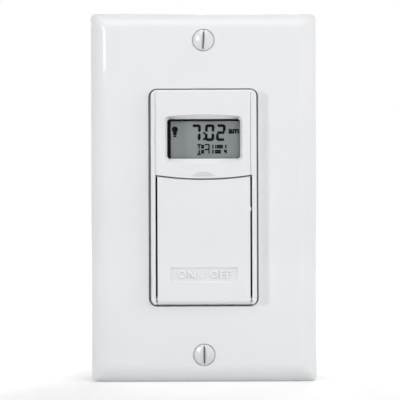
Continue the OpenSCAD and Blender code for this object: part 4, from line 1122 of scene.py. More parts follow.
class FrontBezelOperator(bpy.types.Operator):
    """Mould the front of the module: panel, rails, dish, scoop, deck, bosses and sleeve"""

    bl_idname = "timer_switch.front_bezel"
    bl_label = "Front bezel"

    def execute(self, context):
        sizes = context.scene.bezel_sizes
        door = context.scene.door_sizes
        low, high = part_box("front_bezel")
        front = low.y
        half_w, half_h = sizes.width / 2, sizes.height / 2
        inner_w, inner_h = half_w - sizes.rail, half_h - sizes.rail
        bezel = upright_slab("bezel_moulding", half_w, half_h, front, sizes.flange / 2, sizes.corner_round)
        round_rim(bezel, sizes.edge_round, 5, front)
        fuse(bezel, upright_slab("flange", high.x, high.z, 0, sizes.flange, sizes.flange_round))
        foot = -half_h - CLEAR
        cut(bezel, door_space("recess", door, inner_w, front - CLEAR, sizes.deck_front, foot, door.gap))
        round_edges(
            bezel,
            sizes.inner_round,
            3,
            lambda e: at(e, front) and abs(middle(e).x) < inner_w + NEAR,
        )
        self.hollow(bezel, sizes, inner_w, inner_h)
        self.close_foot(bezel, sizes, door, inner_w, half_h, front)
        self.dish(bezel, sizes, front)
        self.scoop(bezel, sizes, door, front)
        self.grooves(bezel, sizes, half_h, front)
        self.openings(bezel, context)
        finished(bezel, "white_plastic", "root", "front_bezel")
        return {"FINISHED"}

    def hollow(self, bezel, sizes, inner_w, inner_h):
        """Space behind the deck, and the display bay behind the panel."""
        behind = upright_slab("behind", inner_w, inner_h, sizes.deck_back, sizes.flange + CLEAR)
        bay = block(
            "bay",
            (-inner_w, sizes.panel_back, sizes.bay_foot),
            (inner_w, sizes.deck_back + CLEAR, inner_h),
        )
        cut(bezel, behind, bay)

    def close_foot(self, bezel, sizes, door, inner_w, half_h, front):
        """Room for the door's knuckle and pin, and ears that close the gap beside its foot."""
        pin_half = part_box("hinge_pin")[1].x
        knuckle = pressed_rod("knuckle", door, door.knuckle + door.gap / 2, inner_w)
        pin = pressed_rod("pin", door, door.pin + door.pin_gap, pin_half + door.pin_gap)
        cut(bezel, knuckle)
        foot = -half_h + sizes.edge_round / 2
        for side in (-1, 1):
            ends = sorted((side * (inner_w - sizes.ear), side * (inner_w + SUNK)))
            ear = block(
                "ear",
                (ends[0], front + sizes.edge_round / 2, foot),
                (ends[1], sizes.deck_front + SUNK, foot + sizes.ear_height),
            )
            fuse(bezel, ear)
        cut(bezel, pin)

    def dish(self, bezel, sizes, front):
        """Sloped surround from the panel's face down to the window, arched above and below it."""
        floor = front + sizes.dish_depth
        half_w, half_h = sizes.window_width / 2, sizes.window_height / 2
        reach = (sizes.dish_depth + CLEAR) / sizes.dish_depth
        select_only()
        bpy.ops.mesh.primitive_grid_add(
            x_subdivisions=24,
            y_subdivisions=1,
            size=1,
            location=(0, floor, sizes.window_place),
            rotation=UPRIGHT,
        )
        bpy.context.object.scale = (2 * half_w, 2 * half_h, 1)
        tool = settled("dish")
        with editing(tool):
            bpy.ops.mesh.select_all(action="SELECT")
            bpy.ops.mesh.extrude_region_move(
                TRANSFORM_OT_translate={"value": (0, front - CLEAR - floor, 0)}
            )
            shape = bmesh.from_edit_mesh(tool.data)
            for vertex in [v for v in shape.verts if v.select]:
                arch = 1 - (vertex.co.x / half_w) ** 2
                vertex.co.x *= 1 + reach * sizes.dish_side / half_w
                if vertex.co.z > sizes.window_place:
                    vertex.co.z += reach * (sizes.dish_side + sizes.dish_top_arch * arch)
                else:
                    vertex.co.z -= reach * (sizes.dish_foot + sizes.dish_foot_arch * arch)
            bmesh.update_edit_mesh(tool.data)
            bpy.ops.mesh.select_all(action="SELECT")
            bpy.ops.mesh.normals_make_consistent(inside=False)
        round_edges(
            tool,
            sizes.window_round,
            5,
            lambda e: abs(middle(e).x) > half_w and not at(e, floor) and not at(e, front - CLEAR),
        )
        window = upright_slab(
            "window",
            half_w,
            half_h,
            front - CLEAR,
            sizes.panel_back + CLEAR,
            sizes.window_round,
            (0, sizes.window_place),
        )
        cut(bezel, tool, window)

    def scoop(self, bezel, sizes, door, front):
        """Finger scoop in the panel's lower edge."""
        arc = (sizes.scoop_width ** 2 / 4 + sizes.scoop_height ** 2) / (2 * sizes.scoop_height)
        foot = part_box("door")[1].z - door.top_drop - door.top_dip + door.gap + sizes.scoop_lip
        slope = sizes.scoop_height / sizes.scoop_depth
        deep = 1.5 * sizes.scoop_depth
        profile = [(arc + slope * CLEAR, front - CLEAR), (arc - slope * deep, front + deep)]
        scoop = moved(turned("scoop", profile, 256), (0, 0, foot + sizes.scoop_height - arc))
        above = block(
            "above",
            (-arc, front - 2 * CLEAR, foot),
            (arc, front + 2 * deep, foot + 2 * sizes.scoop_height),
        )
        cut(bezel, combine(scoop, above, "INTERSECT"))

    def grooves(self, bezel, sizes, half_h, front):
        """Fine grooves between the panel and the rails."""
        half = sizes.groove_width / 2
        for x in (-sizes.groove_left, sizes.groove_right):
            groove = block(
                "groove",
                (x - half, front - CLEAR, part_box("door")[1].z - CLEAR),
                (x + half, front + sizes.groove_depth, half_h - sizes.groove_end),
            )
            cut(bezel, groove)

    def openings(self, bezel, context):
        """Sleeve of the battery tray, openings of the keys, bosses of the board, screw holes."""
        sizes = context.scene.bezel_sizes
        keys = context.scene.key_sizes
        screws = context.scene.screw_sizes
        housing = context.scene.housing_sizes
        tray_low, tray_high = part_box("battery_tray")
        contact_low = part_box("battery_contacts")[0]
        gap = tray_low.z - contact_low.z
        sleeve_low = Vector((tray_low.x - gap, 0, contact_low.z))
        sleeve_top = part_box("control_board")[0].z - sizes.sleeve_gap
        sleeve_high = Vector((tray_high.x + gap, tray_high.y, sleeve_top))
        wall = Vector((sizes.sleeve_wall, 0, sizes.sleeve_wall))
        outside = block(
            "sleeve",
            sleeve_low - wall + Vector((0, sizes.deck_back - SUNK, 0)),
            sleeve_high + wall,
        )
        inside = block(
            "tray_space",
            sleeve_low + Vector((0, sizes.deck_front - CLEAR, 0)),
            sleeve_high + Vector((0, CLEAR, 0)),
        )
        cut(fuse(bezel, outside), inside)
        for node in KEYS:
            low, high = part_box(node)
            lip = Vector((keys.lip, 0, keys.lip))
            low = low + lip
            high = high - lip
            low.y = sizes.deck_front - CLEAR
            high.y = sizes.deck_back + CLEAR
            cut(bezel, rounded_block("key_space", low, high, keys.corner_round))
        low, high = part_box("reset_key")
        reset = (high.x - low.x) / 2 - keys.lip
        centre = (low + high) / 2
        cut(bezel, rod("reset_space", "Y", reset, sizes.deck_front - CLEAR, sizes.deck_back + CLEAR, centre))
        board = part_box("control_board")[0].y
        screw_low, screw_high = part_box("control_board_screws")
        head = screws.board_head
        for x in (screw_low.x + head, screw_high.x - head):
            for z, start in ((centre.z, sizes.deck_back), (screw_high.z - head, sizes.panel_back)):
                boss = rod("boss", "Y", sizes.boss_radius, start - SUNK, board, (x, 0, z), sides=32)
                hole = rod("hole", "Y", screws.board_hole, screw_low.y, board + CLEAR, (x, 0, z), sides=32)
                cut(fuse(bezel, boss), hole)
        radius = housing.case_thread + screws.hole_gap
        for place in four_places(housing.case_across, housing.case_along):
            cut(bezel, rod("hole", "Y", radius, -CLEAR, sizes.flange + CLEAR, place))


# Rings of the catch nub: share of its radius, and distance from its top in millimetres
NUB_RINGS = ((0.35, 0), (0.75, 0.06), (1, 0.2), (1, 0.5))


class DoorOperator(bpy.types.Operator):
    """Mould the press door with its plaque, knuckle, catch nub and press pad"""

    bl_idname = "timer_switch.door"
    bl_label = "Press door"

    def execute(self, context):
        sizes = context.scene.door_sizes
        low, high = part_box("door")
        front, back = low.y, low.y + sizes.thickness
        line = centre_of("hinge_pin")
        door = door_space("press_door", sizes, sizes.half_width, front, back, line.z, 0)
        half_w = sizes.half_width
        knuckle = rod("knuckle", "X", sizes.knuckle, -half_w, half_w, line, sides=64)
        pad = upright_slab(
            "pad",
            sizes.pad_width / 2,
            sizes.pad_height / 2,
            back - SUNK,
            sizes.pad_front,
            centre=(0, sizes.pad_place),
        )
        nub_y = (front + back) / 2
        nub = turned("nub", [(share * sizes.nub_radius, depth * MM) for share, depth in NUB_RINGS], sides=32)
        moved(nub, (high.x, nub_y, sizes.nub_place), (0, 0, math.pi / 2))
        fuse(door, knuckle, pad, nub)
        cut(door, rod("bore", "X", sizes.pin + sizes.pin_gap, -2 * half_w, 2 * half_w, line))
        round_rim(door, sizes.edge_round, 3, front)
        self.plaque(door, sizes, front)
        finished(door, "white_plastic", "door", "door")
        return {"FINISHED"}

    def plaque(self, door, sizes, front):
        """Shallow plaque with raised letters for what the press does."""
        floor = front + sizes.plaque_depth
        recess = upright_slab(
            "recess",
            sizes.plaque_width / 2,
            sizes.plaque_height / 2,
            front - CLEAR,
            floor,
            centre=(0, sizes.plaque_place),
        )
        cut(door, recess)
        round_edges(
            door,
            sizes.plaque_round,
            2,
            lambda e: at(e, front) and abs(middle(e).z - sizes.plaque_place) < sizes.plaque_height,
        )
        letters = lettering(
            "letters",
            "ON / OFF",
            sizes.letter_height,
            2 * sizes.letter_rise,
            (0, floor, sizes.plaque_place),
            spread=sizes.letter_space,
            slope=sizes.letter_slope,
        )
        fuse(door, letters)


class KeypadOperator(bpy.types.Operator):
    """Mould the keys under the door and the dark film round them, whose colour paints the shade seen through
    the gaps beside the door
    """

    bl_idname = "timer_switch.keypad"
    bl_label = "Keypad"

    def execute(self, context):
        keys = context.scene.key_sizes
        caps = {node: self.cap(keys, node) for node in KEYS}
        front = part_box("mode_key")[0].y
        centres = {node: centre_of(node) for node in caps}
        mark_end = front + keys.mark_depth
        dot = rod("dot", "Y", keys.mark_length / 4, front - CLEAR, mark_end, centres["mode_key"])
        cut(caps["mode_key"], dot)
        across = (keys.mark_length / 2, keys.mark_width / 2)
        upward = (keys.mark_width / 2, keys.mark_length / 2)
        marks = {"minus_key": (across,), "plus_key": (across, upward)}
        for node, bars in marks.items():
            for half_w, half_h in bars:
                centre = centres[node].xz
                cut(caps[node], upright_slab("bar", half_w, half_h, front - CLEAR, mark_end, 0, centre))
        for node, cap in caps.items():
            finished(cap, "grey_plastic", node, node)
        self.reset(keys)
        self.film(context, keys)
        key_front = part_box("on_off_key")[0].y
        centre = centres["on_off_key"]
        letters = lettering(
            "on_off_print",
            "ON / OFF",
            keys.letter_height,
            keys.print_thickness,
            (0, key_front, centre.z),
        )
        finished(letters, "black_plastic", "on_off_key", finish="segment")
        return {"FINISHED"}

    def cap(self, keys, node):
        """One key: a cap in the deck's opening and a lip behind the deck."""
        low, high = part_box(node)
        inset = Vector((keys.lip + keys.gap, 0, keys.lip + keys.gap))
        top = high - inset
        top.y = high.y - keys.lip_thickness + SUNK
        cap = rounded_block(node + "_cap", low + inset, top, keys.corner_round, 5)
        round_rim(cap, keys.edge_round, 3, low.y)
        lip = block("lip", (low.x, high.y - keys.lip_thickness, low.z), high)
        return fuse(cap, lip)

    def reset(self, keys):
        """Small round key that is pressed with a pen."""
        low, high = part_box("reset_key")
        radius = (high.x - low.x) / 2
        pin = radius - keys.lip - keys.gap
        step = high.y - keys.lip_thickness
        edge = keys.reset_edge
        # The middle is hollowed for the tip of a pen
        profile = [
            (0.3 * pin, low.y + edge),
            (0.6 * pin, low.y),
            (pin - edge, low.y),
            (pin, low.y + edge),
            (pin, step),
            (radius, step + SUNK),
            (radius, high.y),
        ]
        centre = (low + high) / 2
        key = moved(turned("reset_key_cap", profile, 48), (centre.x, 0, centre.z))
        finished(key, "red_plastic", "reset_key", "reset_key")

    def film(self, context, keys):
        """Dark film on the deck, with openings for the keys and the tray; its dark colour paints the shade
        seen through the gaps beside the door.
        """
        bezel = context.scene.bezel_sizes
        door = context.scene.door_sizes
        half_w = bezel.width / 2 - bezel.rail - keys.film_edge
        y0, y1 = bezel.deck_front - keys.film, bezel.deck_front
        film = door_space("keypad_film", door, half_w, y0, y1, -bezel.height / 2 + keys.film_foot, 0)
        for node in KEYS:
            low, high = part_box(node)
            inset = Vector((keys.lip - keys.film_gap, 0, keys.lip - keys.film_gap))
            low, high = low + inset, high - inset
            low.y, high.y = y0 - CLEAR, y1 + CLEAR
            cut(film, rounded_block("space", low, high, keys.corner_round))
        low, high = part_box("battery_tray")
        space = block(
            "space",
            (low.x - keys.tray_gap, y0 - CLEAR, low.z - keys.tray_gap),
            (high.x + keys.tray_gap, y1 + CLEAR, high.z + keys.tray_gap_top),
        )
        reset = rod("space", "Y", keys.reset_hole, y0 - CLEAR, y1 + CLEAR, centre_of("reset_key"))
        cut(film, space, reset)
        # The film's dark finish paints the shade behind the door's gaps
        finished(film, "black_plastic", "root", finish="film")


# Strokes of each figure: top, upper right, lower right, foot, lower left, upper left, bar, middle stem
STROKES = {
    "T": "ah",
    "i": "hd",
    "]": "abcd",
    "0": "abcdef",
    "1": "bc",
    "2": "abged",
    "3": "abgcd",
    "4": "fgbc",
    "5": "afgcd",
    "6": "afgedc",
    "7": "abc",
    "8": "abcdefg",
    "9": "abcdfg",
}
# Places of the left edges of the time's figures, in millimetres
TIME_PLACES = (-3.85, 0.35, 3.8)
# Feet of the colon's dots, as shares of the time's height
COLON_FEET = (0.05, 0.4)
# Neck and cap of the lamp sign: half width, foot and top from the globe's middle, in millimetres
LAMP_FOOT = ((0.55, -1.75, -0.5), (0.45, -2.35, -1.87))
# Small figures: signs, places of their left edges, and their foot, width and height, in millimetres
SMALL_FIGURES = (
    ("T", (-2.0,), 15.1, 1.2, 1.38),
    ("]", (0.29,), 14.6, 1.55, 1.88),
    ("011001", (-0.78, 2.16, 3.08, 4.11, 5.03, 6.14), 15.1, 0.9, 1.15),
    ("i", (-2.0,), 13.1, 1.2, 1.6),
    ("1", (0.94,), 13.55, 0.9, 1.0),
    ("01004", (-0.78, 2.16, 3.5, 4.42, 6.25), 13.55, 0.9, 1.15),
)


class DisplayOperator(bpy.types.Operator):
    """Mould the clear window, and draw the figures of the display behind it"""

    bl_idname = "timer_switch.display"
    bl_label = "Display"

    def execute(self, context):
        sizes = context.scene.display_sizes
        self.window(context.scene.bezel_sizes)
        self.glass(sizes)
        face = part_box("lcd_panel")[0].y
        depth = (face - sizes.thickness, face)
        time = dict(width=sizes.time_width, height=sizes.time_height, stroke=sizes.time_stroke)
        beside = (sizes.letter_across, face - sizes.thickness / 2, sizes.letter_up)
        shapes = [
            self.figures(sizes.time, TIME_PLACES, sizes.time_foot, depth, sizes.slant, **time),
            self.colon(sizes, depth),
            self.lamp(sizes, depth),
            lettering("am", "am", sizes.letter_height, sizes.thickness, beside, sizes.letter_weight),
        ]
        for signs, places, foot, width, height in SMALL_FIGURES:
            row = dict(width=width * MM, height=height * MM, stroke=sizes.row_stroke, whole=True)
            shapes.append(self.figures(signs, places, foot * MM, depth, sizes.slant, **row))
        figures = joined("display_figures", shapes)
        finished(figures, "black_plastic", "root", finish="segment")
        return {"FINISHED"}

    def window(self, sizes):
        """Clear window with a flange behind the panel."""
        low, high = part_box("display_lens")
        low.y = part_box("front_bezel")[0].y + sizes.dish_depth + sizes.pane_drop
        pane = upright_slab(
            "clear_window",
            sizes.window_width / 2 - sizes.pane_gap,
            sizes.window_height / 2 - sizes.pane_gap,
            low.y,
            sizes.panel_back + SUNK,
            sizes.window_round,
            (0, sizes.window_place),
        )
        round_rim(pane, sizes.pane_round, 3, low.y)
        fuse(pane, block("flange", (low.x, sizes.panel_back, low.z), high))
        finished(pane, "clear_lens", "root", "display_lens")

    def figures(self, text, places, foot, depth, slant, width, height, stroke, whole=False):
        """Figures, each at its own place along the row, made of whole shapes or of pointed strokes."""
        shapes = []
        half = height / 2
        # Pointed strokes end short of the corners, by these lengths, and their points are this long
        gap = 0.08 * stroke
        across, upward = stroke / 4 + gap, stroke / 6 + gap
        point = 0.42 * stroke
        lap = stroke / 2 if whole else 0
        for figure, place in zip(text, places):
            x = place * MM
            right = x + width
            spans = {
                "a": (x, right, foot + height - stroke, foot + height),
                "d": (x, right, foot, foot + stroke),
                "g": (x, right, foot + half - stroke / 2, foot + half + stroke / 2),
                "b": (right - stroke, right, foot + half - lap, foot + height),
                "c": (right - stroke, right, foot, foot + half + lap),
                "f": (x, x + stroke, foot + half - lap, foot + height),
                "e": (x, x + stroke, foot, foot + half + lap),
                "h": (x + width / 2 - stroke / 2, x + width / 2 + stroke / 2, foot, foot + height),
            }
            bars = []
            for letter in STROKES[figure]:
                x0, x1, z0, z1 = spans[letter]
                if not whole and x1 - x0 > z1 - z0:
                    x0, x1 = x0 + across, x1 - across
                elif not whole:
                    z0, z1 = z0 + upward, z1 - upward
                bars.append(block("bar", (x0, depth[0], z0), (x1, depth[1], z1)))
            shapes += [fuse(*bars)] if whole else bars
        row = joined("row_" + text, shapes)
        if not whole:
            round_edges(row, point, 1, lambda e: runs(e, "Y"))
        lean = Matrix.Identity(4)
        lean[0][2] = slant
        lean[0][3] = -slant * foot
        row.data.transform(lean)
        return row

    def colon(self, sizes, depth):
        """Two dots between the hour and the minutes, a little narrower than the strokes."""
        side = 0.8 * sizes.time_stroke
        dots = []
        for share in COLON_FEET:
            z = sizes.time_foot + share * sizes.time_height
            x = sizes.colon_across + sizes.slant * share * sizes.time_height
            dots.append(block("dot", (x, depth[0], z), (x + side, depth[1], z + side)))
        colon = joined("colon", dots)
        round_edges(colon, side / 4, 2, lambda e: runs(e, "Y"))
        return colon

    def glass(self, sizes):
        """Display glass with ground edges, and the black surround that holds it."""
        low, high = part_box("lcd_panel")
        low.x -= sizes.glass_left
        high.z += sizes.glass_top
        front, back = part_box("lcd_frame")
        gap = low.y - front.y
        glass = block("display_sheet", low, high)
        round_rim(glass, sizes.glass_edge, 2, low.y)
        finished(glass, "lcd_grey", "root", "lcd_panel")
        surround = block("display_surround", front, back)
        opening = block(
            "opening",
            (low.x - gap, front.y - CLEAR, low.z - gap),
            (high.x + gap, back.y + CLEAR, high.z + gap),
        )
        cut(surround, opening)
        round_rim(surround, sizes.glass_edge, 2, front.y)
        finished(surround, "black_plastic", "root", "lcd_frame")

    def lamp(self, sizes, depth):
        """Sign of a lit lamp: a globe on its neck, and a cap under them."""
        x, z = sizes.lamp_across, sizes.lamp_up
        y0, y1 = depth
        globe = rod("globe", "Y", sizes.lamp_radius, y0, y1, (x, 0, z))
        neck, cap = (
            block("foot", (x - half * MM, y0, z + foot * MM), (x + half * MM, y1, z + top * MM))
            for half, foot, top in LAMP_FOOT
        )
        return joined("lamp_sign", [fuse(globe, neck), cap])


class StrapOperator(bpy.types.Operator):
    """Stamp the mounting strap with its slots and bent ground tab"""

    bl_idname = "timer_switch.strap"
    bl_label = "Mounting strap"

    def execute(self, context):
        sizes = context.scene.housing_sizes
        bezel = context.scene.bezel_sizes
        screws = context.scene.screw_sizes
        low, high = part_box("mounting_strap")
        strap = upright_slab("stamped_strap", high.x, high.z, low.y, 0, sizes.strap_round)
        hole = screws.thread + screws.hole_gap
        self.tab(strap, sizes, low, high, hole)
        gap = sizes.strap_gap
        cut(
            strap,
            upright_slab(
                "opening",
                bezel.width / 2 + gap,
                bezel.height / 2 + gap,
                low.y - CLEAR,
                CLEAR,
                bezel.corner_round + gap,
            ),
        )
        # A little less than half the slots' height, so that their round ends stay whole
        slot_end = 0.999 * hole
        case_hole = sizes.case_thread + screws.hole_gap
        for side in (-1, 1):
            place = (0, 0, side * screws.plate_place)
            cut(strap, rod("hole", "Y", hole, low.y - CLEAR, CLEAR, place))
            slot = upright_slab(
                "slot",
                sizes.slot_length / 2,
                hole,
                low.y - CLEAR,
                CLEAR,
                slot_end,
                (0, side * screws.box_place),
            )
            cut(strap, slot)
            for across in (-sizes.case_across, sizes.case_across):
                place = (across, 0, side * sizes.case_along)
                cut(strap, rod("hole", "Y", case_hole, low.y - CLEAR, CLEAR, place))
        round_edges(strap, sizes.strap_edge, 2, lambda e: at(e, low.y) or at(e, 0))
        finished(strap, "zinc_steel", "root", "mounting_strap")
        return {"FINISHED"}

    def tab(self, strap, sizes, low, high, hole):
        """Ground tab, bent back from the strap, with a fillet in its bend."""
        z, half = sizes.tab_height, sizes.strap_thickness / 2
        left, right = sizes.tab_place - sizes.tab_width / 2, sizes.tab_place + sizes.tab_width / 2
        tab = block("tab", (left, low.y + SUNK, z - half), (right, high.y, z + half))
        round_edges(tab, sizes.tab_round, 6, lambda e: runs(e, "Z") and abs(middle(e).y - high.y) < NEAR)
        round_edges(tab, sizes.strap_edge, 2, lambda e: middle(e).y > CLEAR)
        cut(tab, rod("hole", "Z", hole, z - 2 * half, z + 2 * half, centre_of("ground_screw")))
        fuse(strap, tab)
        bend = sizes.tab_bend
        top = z + half + bend
        fillet = block("fillet", (left, -SUNK, z + half - SUNK), (right, bend, top))
        cut(fillet, rod("arc", "X", bend, left - CLEAR, right + CLEAR, (0, bend, top)))
        fuse(strap, fillet)


class FlatScrewsOperator(bpy.types.Operator):
    """Turn the box, case, ground and terminal screws"""

    bl_idname = "timer_switch.flat_screws"
    bl_label = "Flat-head screws"

    def execute(self, context):
        screws = context.scene.screw_sizes
        sizes = context.scene.housing_sizes
        seat = -sizes.strap_thickness
        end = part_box("box_screws")[1].y
        box = self.model("box_screw_top", screws, screws.flat_radius, screws.thread, seat, 0, end)
        places = [(0, 0, side * screws.box_place) for side in (1, -1)]
        self.spread(box, ["box_screw_top", "box_screw_foot"], places, "zinc_steel", "box_screws")
        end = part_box("case_screws")[1].y
        case = self.model("case_screw_1", screws, screws.case_head, sizes.case_thread, seat, seat, end)
        places = four_places(sizes.case_across, sizes.case_along)
        names = [f"case_screw_{i + 1}" for i in range(len(places))]
        self.spread(case, names, places, "zinc_steel", "case_screws")
        low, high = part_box("ground_screw")
        length = high.z - low.z - screws.flat_height
        ground = self.model("ground_screw_turned", screws, screws.flat_radius, screws.thread, 0, 0, length)
        moved(ground, ((low.x + high.x) / 2, (low.y + high.y) / 2, low.z + screws.flat_height), UPRIGHT)
        finished(ground, "green_screw", "root", "ground_screw")
        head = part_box("terminal_screws")[1].x - screws.flat_height
        length = head - sizes.terminal_end
        terminal = self.model("terminal_screw_1", screws, screws.flat_radius, screws.thread, 0, 0, length)
        places, turns = [], []
        for x in (-1, 1):
            for z in (-1, 1):
                places.append((x * head, sizes.terminal_depth, z * sizes.terminal_along))
                turns.append((0, 0, x * math.pi / 2))
        names = [f"terminal_screw_{i + 1}" for i in range(len(places))]
        self.spread(terminal, names, places, "brass", "terminal_screws", turns)
        return {"FINISHED"}

    def model(self, name, screws, head, thread, seat, thread_start, end):
        """One screw along y, with its head in front of the seat."""
        top = seat - screws.flat_height
        edge = screws.flat_edge
        root = thread - screws.thread_depth
        shank = thread - screws.shank_gap
        # Short way along the screw, between rings that lie close together
        step = 0.05 * MM
        profile = [
            (head - 2 * edge, top),
            (head - 0.6 * edge, top + 0.2 * edge),
            (head, top + edge),
            (head, seat),
            (shank, seat + 0.4 * step),
            (shank, thread_start + step),
            (root, thread_start + 2 * step),
            (root, end - screws.thread_depth),
            (TIP * root, end),
        ]
        screw = turned(name, profile, 48)
        start = thread_start + 3 * step
        threaded(screw, thread, screws.thread_depth, screws.pitch, start, end - screws.thread_depth)
        return cut(screw, driver_slot(screws, head, top))

    def spread(self, screw, names, places, slot, node, turns=None):
        """Copies of a screw, each at its own place."""
        turns = turns or [(0, 0, 0)] * len(places)
        twins = [copied(screw, name, *where) for name, *where in list(zip(names, places, turns))[1:]]
        moved(screw, places[0], turns[0])
        for piece in (screw, *twins):
            finished(piece, slot, "root", node)


class HousingOperator(bpy.types.Operator):
    """Mould the rear housing with its wire entries, bare label place and strip gauge"""

    bl_idname = "timer_switch.housing"
    bl_label = "Rear housing"

    def execute(self, context):
        sizes = context.scene.housing_sizes
        screws = context.scene.screw_sizes
        low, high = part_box("rear_housing")
        housing = upright_slab("rear_housing_moulding", high.x, high.z, low.y, high.y, sizes.corner_round)
        round_rim(housing, sizes.edge_round, 4, high.y)
        inner = high.y - sizes.wall
        hollow = block(
            "hollow",
            (low.x + sizes.wall, low.y - CLEAR, low.z + sizes.wall),
            (high.x - sizes.wall, inner, high.z - sizes.wall),
        )
        cut(housing, hollow)
        self.columns(housing, sizes, screws, low.y, inner)
        label = upright_slab(
            "label",
            sizes.label_width / 2,
            sizes.label_height / 2,
            high.y - sizes.label_depth,
            high.y + CLEAR,
            sizes.label_round,
        )
        cut(housing, label)
        gauge_end, gauge_foot = high.x - sizes.gauge_side, low.z + sizes.gauge_foot
        gauge = block(
            "gauge",
            (gauge_end - sizes.gauge_length, high.y - 2 * sizes.label_depth, gauge_foot),
            (gauge_end, high.y + CLEAR, gauge_foot + sizes.gauge_width),
        )
        cut(housing, gauge)
        for side in (-1, 1):
            for z in (-sizes.terminal_along, sizes.terminal_along):
                place = (side * sizes.wire_across, 0, z + sizes.wire_offset)
                self.entry(housing, sizes, inner, high.y, place)
                ends = sorted((side * (high.x - sizes.wall - CLEAR), side * (high.x + CLEAR)))
                place = (0, sizes.terminal_depth, z)
                cut(housing, rod("hole", "X", screws.thread + screws.hole_gap, *ends, place))
        finished(housing, "dark_plastic", "root", "rear_housing")
        return {"FINISHED"}

    def columns(self, housing, sizes, screws, front, inner):
        """Columns for the case screws and posts for the power board."""
        radius = sizes.case_thread + sizes.column_gap
        for place in four_places(sizes.case_across, sizes.case_along):
            column = rod("column", "Y", sizes.column, front, inner + SUNK, place, sides=32)
            hole = rod("hole", "Y", radius, front - CLEAR, sizes.column_end, place)
            cut(fuse(housing, column), hole)
        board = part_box("power_board")[1].y
        screw_low, screw_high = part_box("power_board_screws")
        head = screws.board_head
        for x in (screw_low.x + head, screw_high.x - head):
            for z in (screw_low.z + head, screw_high.z - head):
                post = rod("post", "Y", sizes.post, board, inner + SUNK, (x, 0, z), sides=32)
                hole = rod("hole", "Y", screws.board_hole, board - CLEAR, screw_high.y, (x, 0, z), sides=32)
                cut(fuse(housing, post), hole)

    def entry(self, housing, sizes, inner, back, place):
        """Wire entry with a lead-in."""
        hole, flare = sizes.wire_hole, sizes.wire_flare
        profile = [
            (hole, inner - CLEAR),
            (hole, back - flare),
            (hole + flare, back),
            (hole + flare, back + CLEAR),
        ]
        cut(housing, moved(turned("entry", profile, 48), place))


# Lamps: name, setting that holds the power, azimuth and elevation in degrees, distance and sides in
# metres, whether it shows in reflections, and whether it lights dull surfaces
LAMPS = (
    ("low_left_lamp", "low_left", -64, 9, 0.7, (0.07, 0.16), False, True),
    ("softbox", "softbox", -33, 19.5, 0.7, (0.18, 0.25), True, False),
    ("right_lamp", "right", 30, 14, 0.8, (0.4, 0.7), False, True),
    ("far_right_lamp", "far_right", 65, 20, 0.8, (0.4, 0.4), False, True),
    ("top_lamp", "top", 0, 90, 0.9, (0.5, 0.5), True, True),
    ("upper_lamp", "upper", 0, 60, 0.9, (0.5, 0.5), True, True),
    ("rear_lamp", "rear", 160, 40, 0.8, (0.5, 0.5), True, True),
)
# The floor lies this far under the switch
FLOOR_GAP = 0.05 * MM
# Middle of the floor's dim place, before the switch's foot, and how far the floor's light keeps rising
FLOOR_MIDDLE = (0, -60 * MM, CAD_LOW.z)
FLOOR_REACH = 600 * MM
# Distances from that middle at which the floor's light reaches the level of a setting
FLOOR_STOPS = ((64 * MM, "floor_near"), (92 * MM, "floor_middle"), (200 * MM, "floor_back"))
# The even light goes over from rear to front between minus and plus this share of a direction
LIGHT_BAND = 0.2


